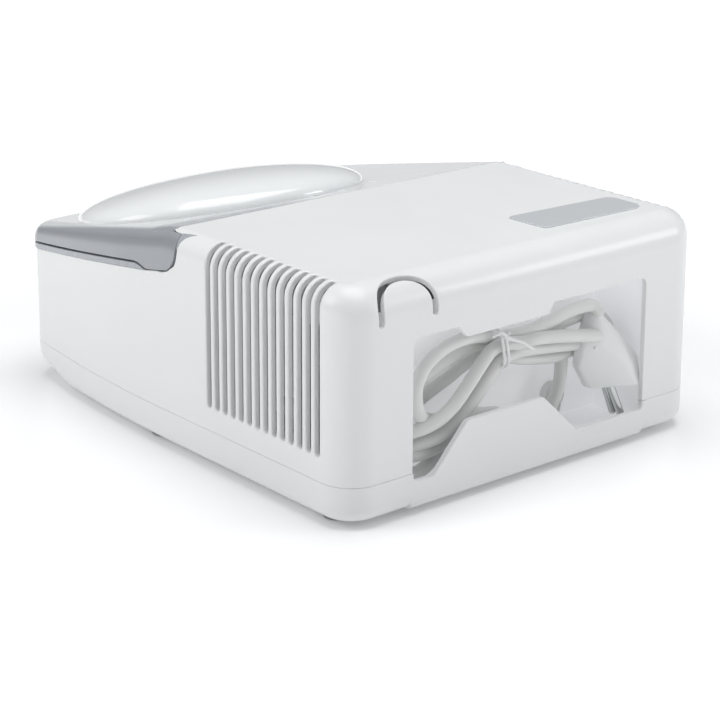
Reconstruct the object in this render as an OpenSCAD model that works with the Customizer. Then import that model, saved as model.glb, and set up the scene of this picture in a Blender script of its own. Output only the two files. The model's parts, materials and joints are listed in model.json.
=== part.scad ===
// Tabletop compressor nebulizer: casing with cable bay, hinged domed lid,
// oil-free piston compressor and stowed accessories.
// Origin: centre of the footprint on the table. +Z up, +Y to the rear
// (cable bay), -Y to the front (switch), +X to the right seen from the front.

/* [Casing] */
// Overall width of the casing
body_w = 220; // [210:1:230]
// Overall length of the casing
body_l = 276; // [270:1:284]
// Height of the flat rear top above the table
top_z = 108; // [106:1:112]
// Height of the parting line between the shells
seam_z = 20; // [18:1:22]
// Underside of the lower shell above the table
floor_z = 3; // [2.5:0.5:4]
// Wall thickness of the shells
wall = 2.6; // [2:0.1:3]
// Height of the switch centre
switch_z = 31; // [31:0.5:33]
// Radius of the rear top edge
edge_r = 15; // [12:1:16]
// Radius of the side top edges
side_edge_r = 10.5; // [9:0.5:12]
// Radius of the upright rear corners
corner_r = 16.5; // [14:0.5:20]
// Radius of the gentle curve of the sides, front half
side_bow_r = 840; // [600:10:1200]
// Radius of the bowed front
front_bow_r = 700; // [500:10:1200]

/* [Louvres] */
// Number of cooling slots on each side
slot_n = 14; // [10:1:14]
// Pitch of the slots
slot_pitch = 6.03; // [5.5:0.01:6.1]
// Width of one slot
slot_w = 3.3; // [2.5:0.1:3.6]
// Lower end of the slots
slot_z0 = 31.2; // [28:0.1:36]
// Distance of the slots' upper ends from the centre plane
slot_x1 = 99.8; // [99.3:0.1:102]

/* [Cable bay] */
// Half width of the rear opening
bay_x = 72; // [68:1:72]
// Top edge of the rear opening
bay_top = 81.4; // [78:0.1:81.5]
// Bottom edge of the rear opening beside the tongue
bay_low = 15.8; // [14:0.1:17]
// Diameter of the mains cord
cord_d = 6; // [5.5:0.1:6.2]

/* [Lid] */
// Position of the lid's rear edge
lid_y = 6; // [5.5:0.1:6.5]
// Fall of the lid per millimetre towards the front
lid_fall = 0.2; // [0.19:0.01:0.21]
// Lid skin thickness
lid_t = 2.2; // [2:0.1:2.4]
// Height of the lid hinge axis
pivot_z = 100.5; // [100.3:0.1:100.6]
// Position of the lid hinge axis
pivot_y = 1; // [0.9:0.1:1.1]
// Radius of the lid's hinge ears
ear_r = 13.4; // [13:0.1:13.6]
// Radius of the dome's footprint
dome_r = 60; // [56:1:61]
// Height of the dome above the lid
dome_h = 18; // [15:1:20]

/* [Compressor] */
// Motor axis, distance behind the centre
mot_y = 52; // [51:0.5:53]
// Motor axis height
mot_z = 46; // [45.5:0.5:46]
// Motor shaft diameter
shaft_d = 6; // [6:0.1:6]
// Crank throw (half of the stroke)
throw = 2.5; // [2:0.1:2.5]
// Cylinder bore diameter
bore_d = 32; // [32:0.5:32]
// Cylinder centre, distance from the centre plane
cyl_x = 44; // [44:0.5:44]

/* [Hidden] */
$fn = 64;

half_w = body_w / 2;
rear_y = body_l / 2;
front_y = -rear_y;
far_y = -170;               // well in front of the casing, where cutters start
trim_h = 3.5;               // height of the deck trim

// [x, y] places
feet = [[97, 116], [-97, 116], [97, -15], [-97, -15], [60, -112], [-60, -112]];
posts = [[100, 24], [-100, 24], [100, 126], [-100, 126], [92, -110], [-92, -110]];
outlet = [52, -16];
filter = [14, -16];
nebulizer = [-8, -62];

// Top edge of the side walls, and the lid's sloping top
rim_z = 87.4;               // side wall height at the lid's rear edge
rim_fall = 0.1417;
function rim(y) = rim_z + rim_fall * (y - lid_y);
function deck(y) = top_z + lid_fall * (y - lid_y);

// ---------------------------------------------------------------- helpers
// Extrude a (y, z) outline along x
module along_x(x0, x1)
  translate([x0, 0, 0]) rotate([90, 0, 90]) linear_extrude(x1 - x0) children();
// Extrude an (x, z) outline along y
module along_y(y0, y1)
  translate([0, y1, 0]) rotate([90, 0, 0]) linear_extrude(y1 - y0) children();
module rod_x(x0, x1, y, z, r)
  translate([x0, y, z]) rotate([0, 90, 0]) cylinder(r = r, h = x1 - x0);
module rod_y(y0, y1, x, z, r)
  translate([x, y0, z]) rotate([-90, 0, 0]) cylinder(r = r, h = y1 - y0);
// Rod between any two points
module rod(from, to, r) {
  run = to - from;
  length = norm(run);
  translate(from)
    rotate([0, acos(run[2] / length), atan2(run[1], run[0])])
      cylinder(r = r, h = length);
}
// Box between two opposite corners
module box(low, high) translate(low) cube(high - low);
// A box on the +X side and its twin on the -X side
module twin_box(low, high) {
  box(low, high);
  box([-high[0], low[1], low[2]], [-low[0], high[1], high[2]]);
}
// A rod on the hinge axis on the +X side and its twin on the -X side
module hinge_rods(x0, x1, r) {
  rod_x(x0, x1, pivot_y, pivot_z, r);
  rod_x(-x1, -x0, pivot_y, pivot_z, r);
}
module rounded_rect(low, high, r) {
  size = high - low;
  translate([low[0] + r, low[1]]) square([size[0] - 2 * r, size[1]]);
  translate([low[0], low[1] + r]) square([size[0], size[1] - 2 * r]);
  for (x = [low[0] + r, high[0] - r], y = [low[1] + r, high[1] - r])
    translate([x, y]) circle(r);
}
module at(place, z) translate([place[0], place[1], z]) children();
module at_each(places, z) for (place = places) at(place, z) children();

// ---------------------------------------------------------------- casing outline
// Rounded front corner on the +X side: a circle of front_r that touches the
// side curve and the bowed front from inside
front_r = 17;
side_centre = [half_w - side_bow_r, lid_y];
bow_centre = [0, front_y + front_bow_r];
side_reach = side_bow_r - front_r;
bow_reach = front_bow_r - front_r;
centre_gap = norm(bow_centre - side_centre);
centre_dir = (bow_centre - side_centre) / centre_gap;
corner_along = (pow(side_reach, 2) - pow(bow_reach, 2) + centre_gap * centre_gap)
  / (2 * centre_gap);
corner_across = sqrt(pow(side_reach, 2) - corner_along * corner_along);
corner = side_centre + corner_along * centre_dir
  + corner_across * [centre_dir[1], -centre_dir[0]];
// From the corner centre to the touch points
to_side = side_centre + (corner - side_centre) * side_bow_r / side_reach - corner;
to_front = bow_centre + (corner - bow_centre) * front_bow_r / bow_reach - corner;

// What the rounded front corner cuts away
module corner_waste(inset) {
  difference() {
    polygon([corner, corner + to_side * 3, corner + (to_side + to_front) * 3,
      corner + to_front * 3]);
    translate(corner) circle(front_r - inset);
  }
}
// Plan before the front corners are rounded
module sharp_plan(inset) {
  margin = 300; // larger than the casing
  intersection() {
    union() {
      rounded_rect([-half_w + inset, 0], [half_w - inset, rear_y - inset], corner_r - inset);
      translate([-half_w + inset, front_y + inset])
        square([body_w - 2 * inset, -front_y + 40]);
    }
    union() {
      translate([-margin, lid_y]) square([margin + half_w - inset, margin]);
      translate(side_centre) circle(side_bow_r - inset, $fn = 360);
    }
    union() {
      translate([-half_w + inset, lid_y]) square([margin + half_w - inset, margin]);
      translate([-side_centre[0], lid_y]) circle(side_bow_r - inset, $fn = 360);
    }
    translate(bow_centre) circle(front_bow_r - inset, $fn = 360);
  }
}
// Plan outline of the casing
module plan(inset) {
  difference() {
    sharp_plan(inset);
    corner_waste(inset);
    mirror([1, 0]) corner_waste(inset);
  }
}
// Front view (x, z) of the casing's upper part
module front_view(inset) {
  edge_z = top_z - side_edge_r;
  translate([-half_w + inset, 0]) square([body_w - 2 * inset, edge_z]);
  translate([-half_w + side_edge_r, 0]) square([body_w - 2 * side_edge_r, top_z - inset]);
  for (s = [-1, 1])
    translate([s * (half_w - side_edge_r), edge_z]) circle(side_edge_r - inset);
}
// Side view (y, z) of the casing's upper part
module side_view(inset) {
  translate([front_y + inset, 0]) square([body_l - edge_r - inset, top_z - inset]);
  translate([front_y + inset, 0]) square([body_l - 2 * inset, top_z - edge_r]);
  translate([rear_y - edge_r, top_z - edge_r]) circle(edge_r - inset);
}
// Solid block of the casing from z0 up
module block(inset, z0) {
  intersection() {
    translate([0, 0, z0]) linear_extrude(top_z - inset - z0) plan(inset);
    along_y(front_y - 1, rear_y + 1) front_view(inset);
    along_x(-half_w - 1, half_w + 1) side_view(inset);
  }
}
// Solid block of the lower shell, with rounded bottom edges
module tub(inset) {
  low_r = 6;      // sides and rear
  toe_r = 14;     // front
  over = 0.3;     // extra radius of the edge circles
  round_z = floor_z + low_r;
  intersection() {
    translate([0, 0, floor_z + inset]) linear_extrude(seam_z - floor_z - inset) plan(inset);
    along_y(front_y - 1, rear_y + 1) {
      translate([-half_w + low_r, floor_z + inset]) square([body_w - 2 * low_r, 40]);
      translate([-half_w - 1, round_z]) square([body_w + 2, 40]);
      for (s = [-1, 1])
        translate([s * (half_w - low_r), round_z]) circle(low_r + over - inset);
    }
    along_x(-half_w - 1, half_w + 1) {
      translate([front_y + toe_r, floor_z + inset]) square([body_l - toe_r - low_r, 40]);
      translate([front_y - 1, floor_z + toe_r]) square([body_l + 2, 40]);
      translate([front_y + toe_r, round_z]) square([body_l - toe_r + 1, 40]);
      translate([front_y + toe_r, floor_z + toe_r]) circle(toe_r + over - inset);
      translate([rear_y - low_r, round_z]) circle(low_r + over - inset);
    }
  }
}
// Outline (y, z) of everything above the side walls, in front of the flat top
module above_rim() {
  edge_y = lid_y + 0.15;
  polygon([[far_y, rim(far_y)], [edge_y, rim(edge_y)], [edge_y, 140], [far_y, 140]]);
}

// ---------------------------------------------------------------- shells
arm_x0 = 96.6;              // hinge arms, inner and outer faces
arm_x1 = 100.6;
arm_r = 4.3;
pocket_x = 100.8;           // inner face of the pockets for the ears
pocket_r = ear_r + 0.3;
ear_x0 = 101;               // inner face of the hinge ears
pin_r = 2.5;
partition_y = 14;           // front face of the partition under the flat top
switch_x = 11;              // half width and half height of the switch housing
switch_h = 6.5;

module hinge_arms() {
  hinge_rods(arm_x0, arm_x1, arm_r);
  twin_box([arm_x0, pivot_y - arm_r, 78], [arm_x1, pivot_y + 3.4, pivot_z]);
  // feet on the side walls
  twin_box([arm_x0, pivot_y - arm_r, 76], [half_w - 1, partition_y + wall, 82]);
}
// Screw posts with ribs to the walls
module screw_posts() {
  rib = 8;
  at_each(posts, seam_z) cylinder(r = 4.2, h = 18);
  for (p = posts) {
    x = p[0] > 0 ? p[0] : p[0] - rib;
    box([x, p[1] - 1.2, seam_z], [x + rib, p[1] + 1.2, seam_z + 16]);
  }
}
// Pockets for the lid's ears, undercut for its rear edge and pin holes
module hinge_room() {
  hinge_rods(pocket_x, half_w + 2, pocket_r);
  difference() {
    rod_x(-pocket_x, pocket_x, pivot_y, pivot_z, 9.1);
    twin_box([96.4, -20, 60], [pocket_x, pivot_y + 3.6, pivot_z + 4.4]);
  }
  hinge_rods(96, 101, pin_r);
}
// Louvres on both sides, wrapping over the top edges
module louvres() {
  first_y = 39.7;
  for (i = [0:slot_n - 1]) {
    y = first_y + slot_pitch * i;
    twin_box([slot_x1, y - slot_w / 2, slot_z0], [half_w + 5, y + slot_w / 2, top_z + 5]);
  }
}
// Cable bay opening; the polygon leaves a tab hanging from its top edge
module bay_opening() {
  tab_z = bay_top - 5.5;
  along_y(rear_y - wall - 1, rear_y + 1) difference() {
    rounded_rect([-bay_x, 0], [bay_x, bay_top], 5);
    polygon([[45, 90], [43.5, bay_top - 1.5], [38, tab_z],
      [-9, tab_z], [-13, bay_top - 1], [-13.5, 90]]);
  }
}
// Arched slot cut at 45 degrees into the rear top edge
module arched_slot() {
  translate([75.7, rear_y, top_z]) rotate([-45, 0, 0]) translate([0, 0, -18])
    linear_extrude(22) translate([0, 7.9]) {
      difference() {
        circle(16.1);
        circle(13.3);
        translate([-20, 0.2]) square([40, 40]);
      }
      // straight ends
      for (x = [-16.08, 13.32]) translate([x, 0]) square([2.76, 5.4]);
    }
}
module upper_shell() {
  color("white") difference() {
    union() {
      difference() {
        block(0, seam_z);
        difference() {
          block(wall, seam_z - 5);
          // partition left standing
          box([-half_w, partition_y, 80], [half_w, partition_y + wall, 120]);
        }
        // open front deck
        along_x(-half_w - 2, half_w + 2) above_rim();
      }
      hinge_arms();
      screw_posts();
    }
    at_each(posts, seam_z - 1) cylinder(r = 1.5, h = 16);
    hinge_room();
    louvres();
    bay_opening();
    arched_slot();
    // front wall opening for the switch
    box([-switch_x - 0.2, front_y - 2, switch_z - switch_h - 0.2],
      [switch_x + 0.2, front_y + 6, switch_z + switch_h + 0.2]);
  }
}
module lower_shell() {
  color("white") difference() {
    union() {
      difference() {
        tub(0);
        difference() {
          tub(wall);
          // floor thickness
          box([-half_w, front_y, 0], [half_w, rear_y, floor_z + 3]);
        }
      }
      // tongue of the rear wall, standing up into the opening
      along_y(rear_y - wall, rear_y)
        polygon([[60, 14], [39.5, 37.2], [-5.5, 37.2], [-28, 14]]);
      at_each(posts, floor_z) cylinder(r = 4.5, h = seam_z - floor_z - 0.2);
    }
    // rear opening on both sides of the tongue
    along_y(rear_y - wall - 1, rear_y + 1) {
      polygon([[60, bay_low], [bay_x - 2, bay_low], [bay_x, bay_low + 2],
        [bay_x, 30], [46, 30.5]]);
      polygon([[-28.8, bay_low], [-bay_x + 2, bay_low], [-bay_x, bay_low + 2],
        [-bay_x, 30], [-15, 30]]);
    }
    // screw holes and head recesses
    at_each(posts, 0) {
      cylinder(r = 1.7, h = 30);
      cylinder(r = 3.3, h = 6);
    }
    at_each(feet, 0) cylinder(r = 6.6, h = floor_z + 1);
    // intake grille under the motor
    for (i = [-3:3]) box([i * 8 - 1.5, 34, 0], [i * 8 + 1.5, 70, 8]);
  }
}
// Band on top of the side walls, round the front deck
module deck_trim() {
  trim_rear = -5;
  color("darkgray") difference() {
    intersection() {
      linear_extrude(top_z) difference() {
        plan(0);
        plan(7);
      }
      along_x(-half_w, half_w) intersection() {
        above_rim();
        polygon([[far_y, rim(far_y) + trim_h], [trim_rear, rim(trim_rear) + trim_h],
          [trim_rear, 0], [far_y, 0]]);
      }
    }
    rod_x(-half_w - 2, half_w + 2, pivot_y, pivot_z, pocket_r);
  }
}
module rubber_feet() {
  color("lightgray") {
    at_each(feet, 0) cylinder(r = 6.4, h = 1.2);
    at_each(feet, 1.2) cylinder(r = 6.5, h = floor_z - 0.2);
  }
}
module casing_screws() {
  color("silver") at_each(posts, 0) difference() {
    union() {
      translate([0, 0, 4]) cylinder(r = 3, h = 2);
      translate([0, 0, 6]) cylinder(r = 1.5, h = 26);
    }
    // cross recess
    box([-2.2, -0.4, 3.9], [2.2, 0.4, 4.9]);
    box([-0.4, -2.2, 3.9], [0.4, 2.2, 4.9]);
  }
}
module badge_plate() {
  color("gainsboro") translate([-59, rear_y - 35.5, top_z])
    linear_extrude(0.8) rounded_rect([-32, -12.5], [32, 12.5], 6);
}

// ---------------------------------------------------------------- lid
// Place children on the lid's slope at the dome's centre
module on_lid() {
  dome = [24, -64.5];
  at(dome, deck(dome[1])) rotate([atan(lid_fall), 0, 0]) children();
}
// Lid band and sloping panel; the inset block runs lower, to leave a skin
module lid_block(inset) {
  rear = 30;
  low = trim_h + 0.2 - (inset > 0 ? 9 : 0);
  intersection() {
    translate([0, 0, 60]) linear_extrude(60) plan(inset);
    along_y(front_y - 1, rear_y + 1) front_view(inset);
    along_x(-half_w - 1, half_w + 1)
      polygon([[far_y, rim(far_y) + low], [rear, rim(rear) + low],
        [rear, deck(rear) - inset], [far_y, deck(far_y) - inset]]);
  }
}
module lid_skin() {
  intersection() {
    difference() {
      lid_block(0);
      lid_block(lid_t);
    }
    union() {
      along_x(-half_w - 1, half_w + 1)
        polygon([[far_y, 0], [pivot_y, 0], [pivot_y, 140], [far_y, 140]]);
      rod_x(-100.4, 100.4, pivot_y, pivot_z, 8.9);
    }
  }
}
module lid_ears() {
  intersection() {
    block(0, 60);
    along_x(-half_w - 1, half_w + 1)
      polygon([[-40, 60], [40, 60], [40, deck(40)], [-40, deck(-40)]]);
    hinge_rods(ear_x0, half_w + 1, ear_r);
  }
}
module lid_frame() {
  room_x = 96.2;
  room_y = -22;
  color([0.62, 0.64, 0.68, 0.8]) difference() {
    union() {
      lid_skin();
      lid_ears();
    }
    // hole that takes the dome
    on_lid() translate([0, 0, -12]) cylinder(r = dome_r - 4, h = 24);
    // room for the hinge arms, under the top skin
    difference() {
      twin_box([room_x, room_y, 60], [ear_x0, 12, deck(room_y)]);
      along_x(-half_w, half_w)
        polygon([[-30, deck(-30) - lid_t], [20, deck(20) - lid_t], [20, 140], [-30, 140]]);
    }
    // pin sockets
    hinge_rods(96, 106.6, pin_r + 0.06);
    hinge_rods(room_x, ear_x0, arm_r + 0.15);
    // finger notch at the front
    translate([0, front_y - 6, 66]) cylinder(r = 14, h = 12);
  }
}
dome_steps = 24;
// Point [radius, height] of the dome's profile; step 0 is the crown
function dome_point(r, h, i) =
  [r * sin(90 * i / dome_steps), h * pow(cos(90 * i / dome_steps), 1.25)];
module lid_dome() {
  skin = 2;
  foot_r = dome_r - 4.2;
  foot_z = -lid_t - 1.2;
  outer = [for (i = [0:dome_steps]) dome_point(dome_r, dome_h, i)];
  inner = [for (i = [dome_steps - 3:-1:0]) dome_point(dome_r - skin, dome_h - skin, i)];
  // foot ring drops into the lid's hole
  foot = [[foot_r, 0], [foot_r, foot_z], [foot_r - skin, foot_z]];
  color([0.9, 0.93, 0.95, 0.35]) intersection() {
    on_lid() rotate_extrude($fn = 128) polygon(concat(outer, foot, inner));
    box([-half_w, -140, 60], [half_w, lid_y - 0.4, 140]);
  }
}
module hinge_pins() {
  color("silver") hinge_rods(arm_x0, 106.4, pin_r);
}

// ---------------------------------------------------------------- accessory tray
tray_x = 92;                // half width
tray_t = 2;
tray_front = -126;
tray_rear = 12;
shelf_y = -32;              // front of the raised rear shelf
shelf_z = 84;
well_z = 42;                // floor of the tray's well

// Sloping rim inside the side walls, and the tray walls that rise to it
module tray_rim() {
  rim_rear = -9;
  gap = 0.4;      // rim below the side walls' top edge
  difference() {
    union() {
      intersection() {
        translate([0, 0, 50]) linear_extrude(60) plan(wall + 0.3);
        along_x(-half_w, half_w)
          polygon([[far_y, rim(far_y) - gap - 3], [rim_rear, rim(rim_rear) - gap - 3],
            [rim_rear, rim(rim_rear) - gap], [far_y, rim(far_y) - gap]]);
      }
      along_x(-tray_x, tray_x)
        polygon([[tray_front, 60], [tray_front, rim(tray_front) - gap],
          [rim_rear, rim(rim_rear) - gap], [rim_rear, 60]]);
    }
    box([-tray_x + tray_t, tray_front + tray_t, 40], [tray_x - tray_t, 0, 120]);
  }
}
module accessory_tray() {
  inner_x = tray_x - tray_t;
  color("white") difference() {
    union() {
      box([-tray_x, tray_front, well_z - tray_t], [tray_x, tray_rear, 68]);
      box([-tray_x, shelf_y, 60], [tray_x, tray_rear, shelf_z]);
      tray_rim();
    }
    // main well
    box([-inner_x, tray_front + tray_t, well_z], [inner_x, shelf_y - tray_t, 120]);
    // hollow under the shelf
    box([-inner_x, shelf_y + tray_t, 20], [inner_x, tray_rear + 2, shelf_z - tray_t]);
    // holes for the air outlet and the filter
    at(outlet, 70) cylinder(r = 3.6, h = 20);
    at(filter, 70) cylinder(r = 9.6, h = 20);
  }
  // holder ring for the nebulizer cup
  color("white") at(nebulizer, well_z - 0.5) difference() {
    cylinder(r = 24, h = 12);
    translate([0, 0, -1]) cylinder(r = 21.6, h = 20);
  }
}
module air_outlet_nozzle() {
  color("white") difference() {
    union() {
      at(outlet, 70) cylinder(r = 3.5, h = 14);
      at(outlet, shelf_z) cylinder(r = 6, h = 1.6);
      at(outlet, shelf_z) cylinder(r = 3.5, h = 5);
      at(outlet, shelf_z + 5) cylinder(r1 = 3.3, r2 = 2.7, h = 8);
    }
    at(outlet, 69) cylinder(r = 1.5, h = 40);
  }
}
module filter_cover() {
  color("white") at(filter, shelf_z) difference() {
    union() {
      cylinder(r = 12, h = 2.2);
      // grip bar
      box([-7, -1.2, 2.2], [7, 1.2, 5.4]);
      translate([0, 0, -4]) cylinder(r = 9.2, h = 4);
    }
    translate([0, 0, -5]) cylinder(r = 7.8, h = 5.6);
    // ring of air holes
    for (a = [0:45:315])
      rotate([0, 0, a + 22.5]) translate([9.9, 0, -1]) cylinder(r = 0.9, h = 5);
  }
}
module air_filter() {
  color("lightyellow") at(filter, shelf_z - 9.5) cylinder(r = 7.6, h = 5.4);
}

// ---------------------------------------------------------------- switch
rocker_y = front_y + 4.5;   // rocker axis

module switch_housing() {
  color("dimgray") difference() {
    union() {
      box([-switch_x, front_y - 0.5, switch_z - switch_h],
        [switch_x, front_y + 24, switch_z + switch_h]);
      // bezel
      along_y(front_y - 1.3, front_y)
        rounded_rect([-switch_x - 2, switch_z - switch_h - 2],
          [switch_x + 2, switch_z + switch_h + 2], 2);
    }
    rod_x(-9, 9, rocker_y, switch_z, 5.9);
    box([-9, front_y - 3, switch_z - 5.9], [9, rocker_y, switch_z + 5.9]);
    rod_x(-10.2, 10.2, rocker_y, switch_z, 1.55);
  }
}
module switch_rocker() {
  color("darkslategray") translate([0, rocker_y, switch_z]) rotate([10, 0, 0]) {
    intersection() {
      rod_x(-8.8, 8.8, 0, 0, 5.8);
      along_x(-9, 9)
        polygon([[-5.7, -1], [-5.7, 1], [-4.6, 7], [3, 7], [3, -7], [-4.6, -7]]);
    }
    rod_x(-10.1, 10.1, 0, 0, 1.5);
  }
}

// ---------------------------------------------------------------- mains
cord_x = -46;               // where the cord passes the liner's front wall
cord_z = 20;
cord_r = cord_d / 2;
coil_y = 116;               // stowed cord bundle
plug_x = -56;               // cord end of the plug
plug_y = 128;
plug_pin_x = [-68, -49];

module cable_bay_liner() {
  mouth_y = rear_y - wall - 0.1;
  color("whitesmoke") difference() {
    union() {
      box([-78, 100, 6], [-30, mouth_y, 84]);
      box([-32, 106, 6], [78, mouth_y, 84]);
    }
    box([-76, 102, 7.5], [-32, rear_y, 82]);
    box([-34, 108, 7.5], [76, rear_y, 82]);
    box([-80, 131, 5], [80, rear_y, 9.6]);
    rod_y(94, 104, cord_x, cord_z, 5);
  }
}
module cord_grip() {
  color("white") difference() {
    union() {
      rod_y(94, 99.9, cord_x, cord_z, 7);
      rod_y(97, 104, cord_x, cord_z, 4.9);
      rod_y(102.1, 106, cord_x, cord_z, 6.4);
    }
    rod_y(80, 115, cord_x, cord_z, cord_r + 0.05);
  }
}
// Cord from the grip to the bundle, a racetrack loop, and on to the plug
module power_cord() {
  loop_r = 16;
  bundle_r = 6;
  half_run = 37;
  loop_z = 47;
  bend = [cord_x, 109, cord_z];
  plug_bend = [plug_x, plug_y, 76];
  color("ivory") {
    rod_y(90, bend[1], cord_x, cord_z, cord_r);
    translate(bend) sphere(cord_r + 0.12);
    rod(bend, [-38, coil_y, loop_z - loop_r - 2], cord_r);
    for (s = [-1, 1]) {
      rod_x(-half_run, half_run, coil_y, loop_z + s * loop_r, bundle_r);
      translate([s * half_run, coil_y, loop_z])
        rotate([90, 0, 0]) rotate([0, 0, s > 0 ? -90 : 90])
          rotate_extrude(angle = 180) translate([loop_r, 0]) circle(bundle_r);
    }
    rod([plug_x, plug_y, 70.2], plug_bend, cord_r);
    translate(plug_bend) sphere(cord_r + 0.12);
    rod(plug_bend, [-20, coil_y, loop_z + loop_r + 1], cord_r);
  }
}
module cord_tie() {
  color("white") translate([6, coil_y, 63]) rotate([0, 90, 0])
    rotate_extrude() translate([6.75, 0]) circle(0.6);
}
module plug_body() {
  color("white") difference() {
    hull() {
      translate([plug_x, plug_y, 68]) cylinder(r = 4.5, h = 2, $fn = 32);
      for (x = [-67, -50]) translate([x, plug_y, 28]) cylinder(r = 6, h = 14, $fn = 32);
    }
    for (x = plug_pin_x) translate([x, plug_y, 20]) cylinder(r = 2, h = 16);
  }
}
module plug_pins() {
  color("silver") for (x = plug_pin_x) translate([x, plug_y, 12.5]) {
    cylinder(r = 2, h = 23.5);
    sphere(2);
  }
}

// ---------------------------------------------------------------- motor
shaft_r = shaft_d / 2;
stack_x0 = -18;             // stator stack and rotor, -X and +X faces
stack_x1 = 12;
stack_y = 32;               // half length of the stack and base
end_x0 = stack_x0 - 2.5;    // ends of the bobbin tube and rotor rings
end_x1 = stack_x1 + 2.5;
bracket_x = [-30, 18];      // -X faces of the bearing brackets
bracket_t = 6;
bolt_y = 24;                // motor screws, each side of the axis
bolt_hole_r = 2.2;
bobbin_y = 17.6;            // half length of the bobbin
mounts = [[-24, mot_y - 24], [-24, mot_y + 24], [56, mot_y - 24], [56, mot_y + 24]];

// Rod on the motor axis
module axis_rod(x0, x1, r) rod_x(x0, x1, mot_y, mot_z, r);
// Rods along both motor screws
module bolt_rods(x0, x1, r) for (s = [-1, 1]) rod_x(x0, x1, mot_y + s * bolt_y, mot_z, r);
// Rods along both shading rings
module shading_rods(x0, x1, r) for (s = [-1, 1]) rod_x(x0, x1, mot_y + s * 17.5, mot_z + 9, r);
// Box centred in y on the motor axis
module mid_box(x0, x1, half_y, z0, z1) box([x0, mot_y - half_y, z0], [x1, mot_y + half_y, z1]);

module base_frame() {
  color("silver") difference() {
    union() {
      mid_box(-32, 64, stack_y, 16, 18);
      // rails under the stator
      for (y = [mot_y - stack_y, mot_y + stack_y - 4]) box([-16, y, 17], [10, y + 4, 26]);
    }
    at_each(mounts, 10) cylinder(r = 2.5, h = 20);
    for (i = [-1:1]) mid_box(i * 18 - 5, i * 18 + 5, 18, 10, 20);
  }
}
module vibration_mounts() {
  color("black") {
    at_each(mounts, 6) cylinder(r = 7, h = 10);
    at_each(mounts, 15.9) cylinder(r = 2.5, h = 3);
    at_each(mounts, 18) cylinder(r = 4, h = 1.5);
  }
}
module stator_stack() {
  cut_x0 = stack_x0 - 2;
  cut_x1 = stack_x1 + 2;
  color("dimgray") difference() {
    mid_box(stack_x0, stack_x1, stack_y, 26, 94);
    axis_rod(cut_x0, cut_x1, 16.5);
    // window under the coil
    mid_box(cut_x0, cut_x1, 18, 66, 80);
    bolt_rods(cut_x0, cut_x1, bolt_hole_r);
    shading_rods(cut_x0, cut_x1, 1.3);
  }
}
module shading_rings() {
  color("peru") shading_rods(stack_x0 - 1.5, stack_x1 + 1.5, 1.25);
}
module coil_bobbin() {
  flange = 1.6;
  color("ivory") difference() {
    union() {
      mid_box(end_x0, end_x1, bobbin_y, 78, 96);
      for (y = [mot_y - bobbin_y, mot_y + bobbin_y - flange])
        box([-28, y, 68], [22, y + flange, 102]);
    }
    mid_box(stack_x0 - 0.2, stack_x1 + 0.2, 20, 79.8, 94.2);
  }
}
module coil_winding() {
  color("chocolate") difference() {
    along_y(mot_y - 15.8, mot_y + 15.8) rounded_rect([-27, 69], [21, 101.4], 6);
    mid_box(end_x0 - 0.1, end_x1 + 0.1, 20, 77.9, 96.1);
  }
}
module bearing_brackets() {
  color("lightgray") for (x = bracket_x) difference() {
    union() {
      mid_box(x, x + bracket_t, 29, mot_z - 9, mot_z + 9);
      axis_rod(x, x + bracket_t, 12);
      // spacers to the stator
      bolt_rods(x > 0 ? stack_x1 : x + bracket_t - 1, x > 0 ? x + 1 : stack_x0, 4.5);
    }
    axis_rod(x - 1, x + bracket_t + 1, 6);
    bolt_rods(x - 20, x + 20, bolt_hole_r);
  }
}
module bearing_bushes() {
  color("goldenrod") for (x = bracket_x) difference() {
    axis_rod(x - 0.5, x + bracket_t + 0.5, 6);
    axis_rod(x - 1.5, x + bracket_t + 1.5, shaft_r + 0.04);
  }
}
module motor_screws() {
  color("silver") {
    bolt_rods(-30, 26, 2);
    bolt_rods(-33, -30, 3.8);
  }
}
module rotor_core() {
  color("gray") difference() {
    union() {
      axis_rod(stack_x0, stack_x1, 16);
      axis_rod(end_x0, end_x1, 14);
    }
    axis_rod(-22, 16, shaft_r);
  }
}
module motor_shaft() {
  color("silver") axis_rod(-48, 37.5, shaft_r);
}
module cooling_fan() {
  color("lightgray") translate([0, mot_y, mot_z]) difference() {
    union() {
      rod_x(-47, -36, 0, 0, 8);
      rod_x(-37.5, -36, 0, 0, 15);
      // twisted blades
      for (a = [0:45:315])
        rotate([a, 0, 0]) translate([-41.5, 0, 5]) rotate([0, 0, 28])
          box([-5.2, -0.7, 0], [5.2, 0.7, 21.5]);
    }
    rod_x(-50, -30, 0, 0, shaft_r);
  }
}

// ---------------------------------------------------------------- pump
bore_r = bore_d / 2;
sleeve_r = bore_r + 2;
crank_z = mot_z + throw;    // crank pin height at rest (top dead centre)
disc_x = 37.5;              // +X face of the crank disc
bearing_r = 6.5;
piston = [cyl_x, mot_y];    // cylinder axis
plate_z = 88;               // underside of the valve plate
gasket_z = 91;
head_z = 91.6;              // underside of the cylinder head
cap_z = head_z + 9.4;       // top of the cylinder head
barb_z = head_z + 4.4;
barb_x = 10;                // barbs, each side of the cylinder axis
chamber_x = 7.5;            // head chambers, each side of the cylinder axis
port_x = 7;                 // valve ports, each side of the cylinder axis
head_bolts = [for (a = [-1, 1], b = [-1, 1]) [cyl_x + 18 * a, mot_y + 18 * b]];

// Rod on the crank pin's axis
module crank_rod(x0, x1, r) rod_x(x0, x1, mot_y, crank_z, r);
// Square slab shared by the valve plate, gasket and head
module head_slab(z0, z1) mid_box(cyl_x - 22, cyl_x + 22, 22, z0, z1);
module head_bolt_holes(h) at_each(head_bolts, 80) cylinder(r = 1.7, h = h);

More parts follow.
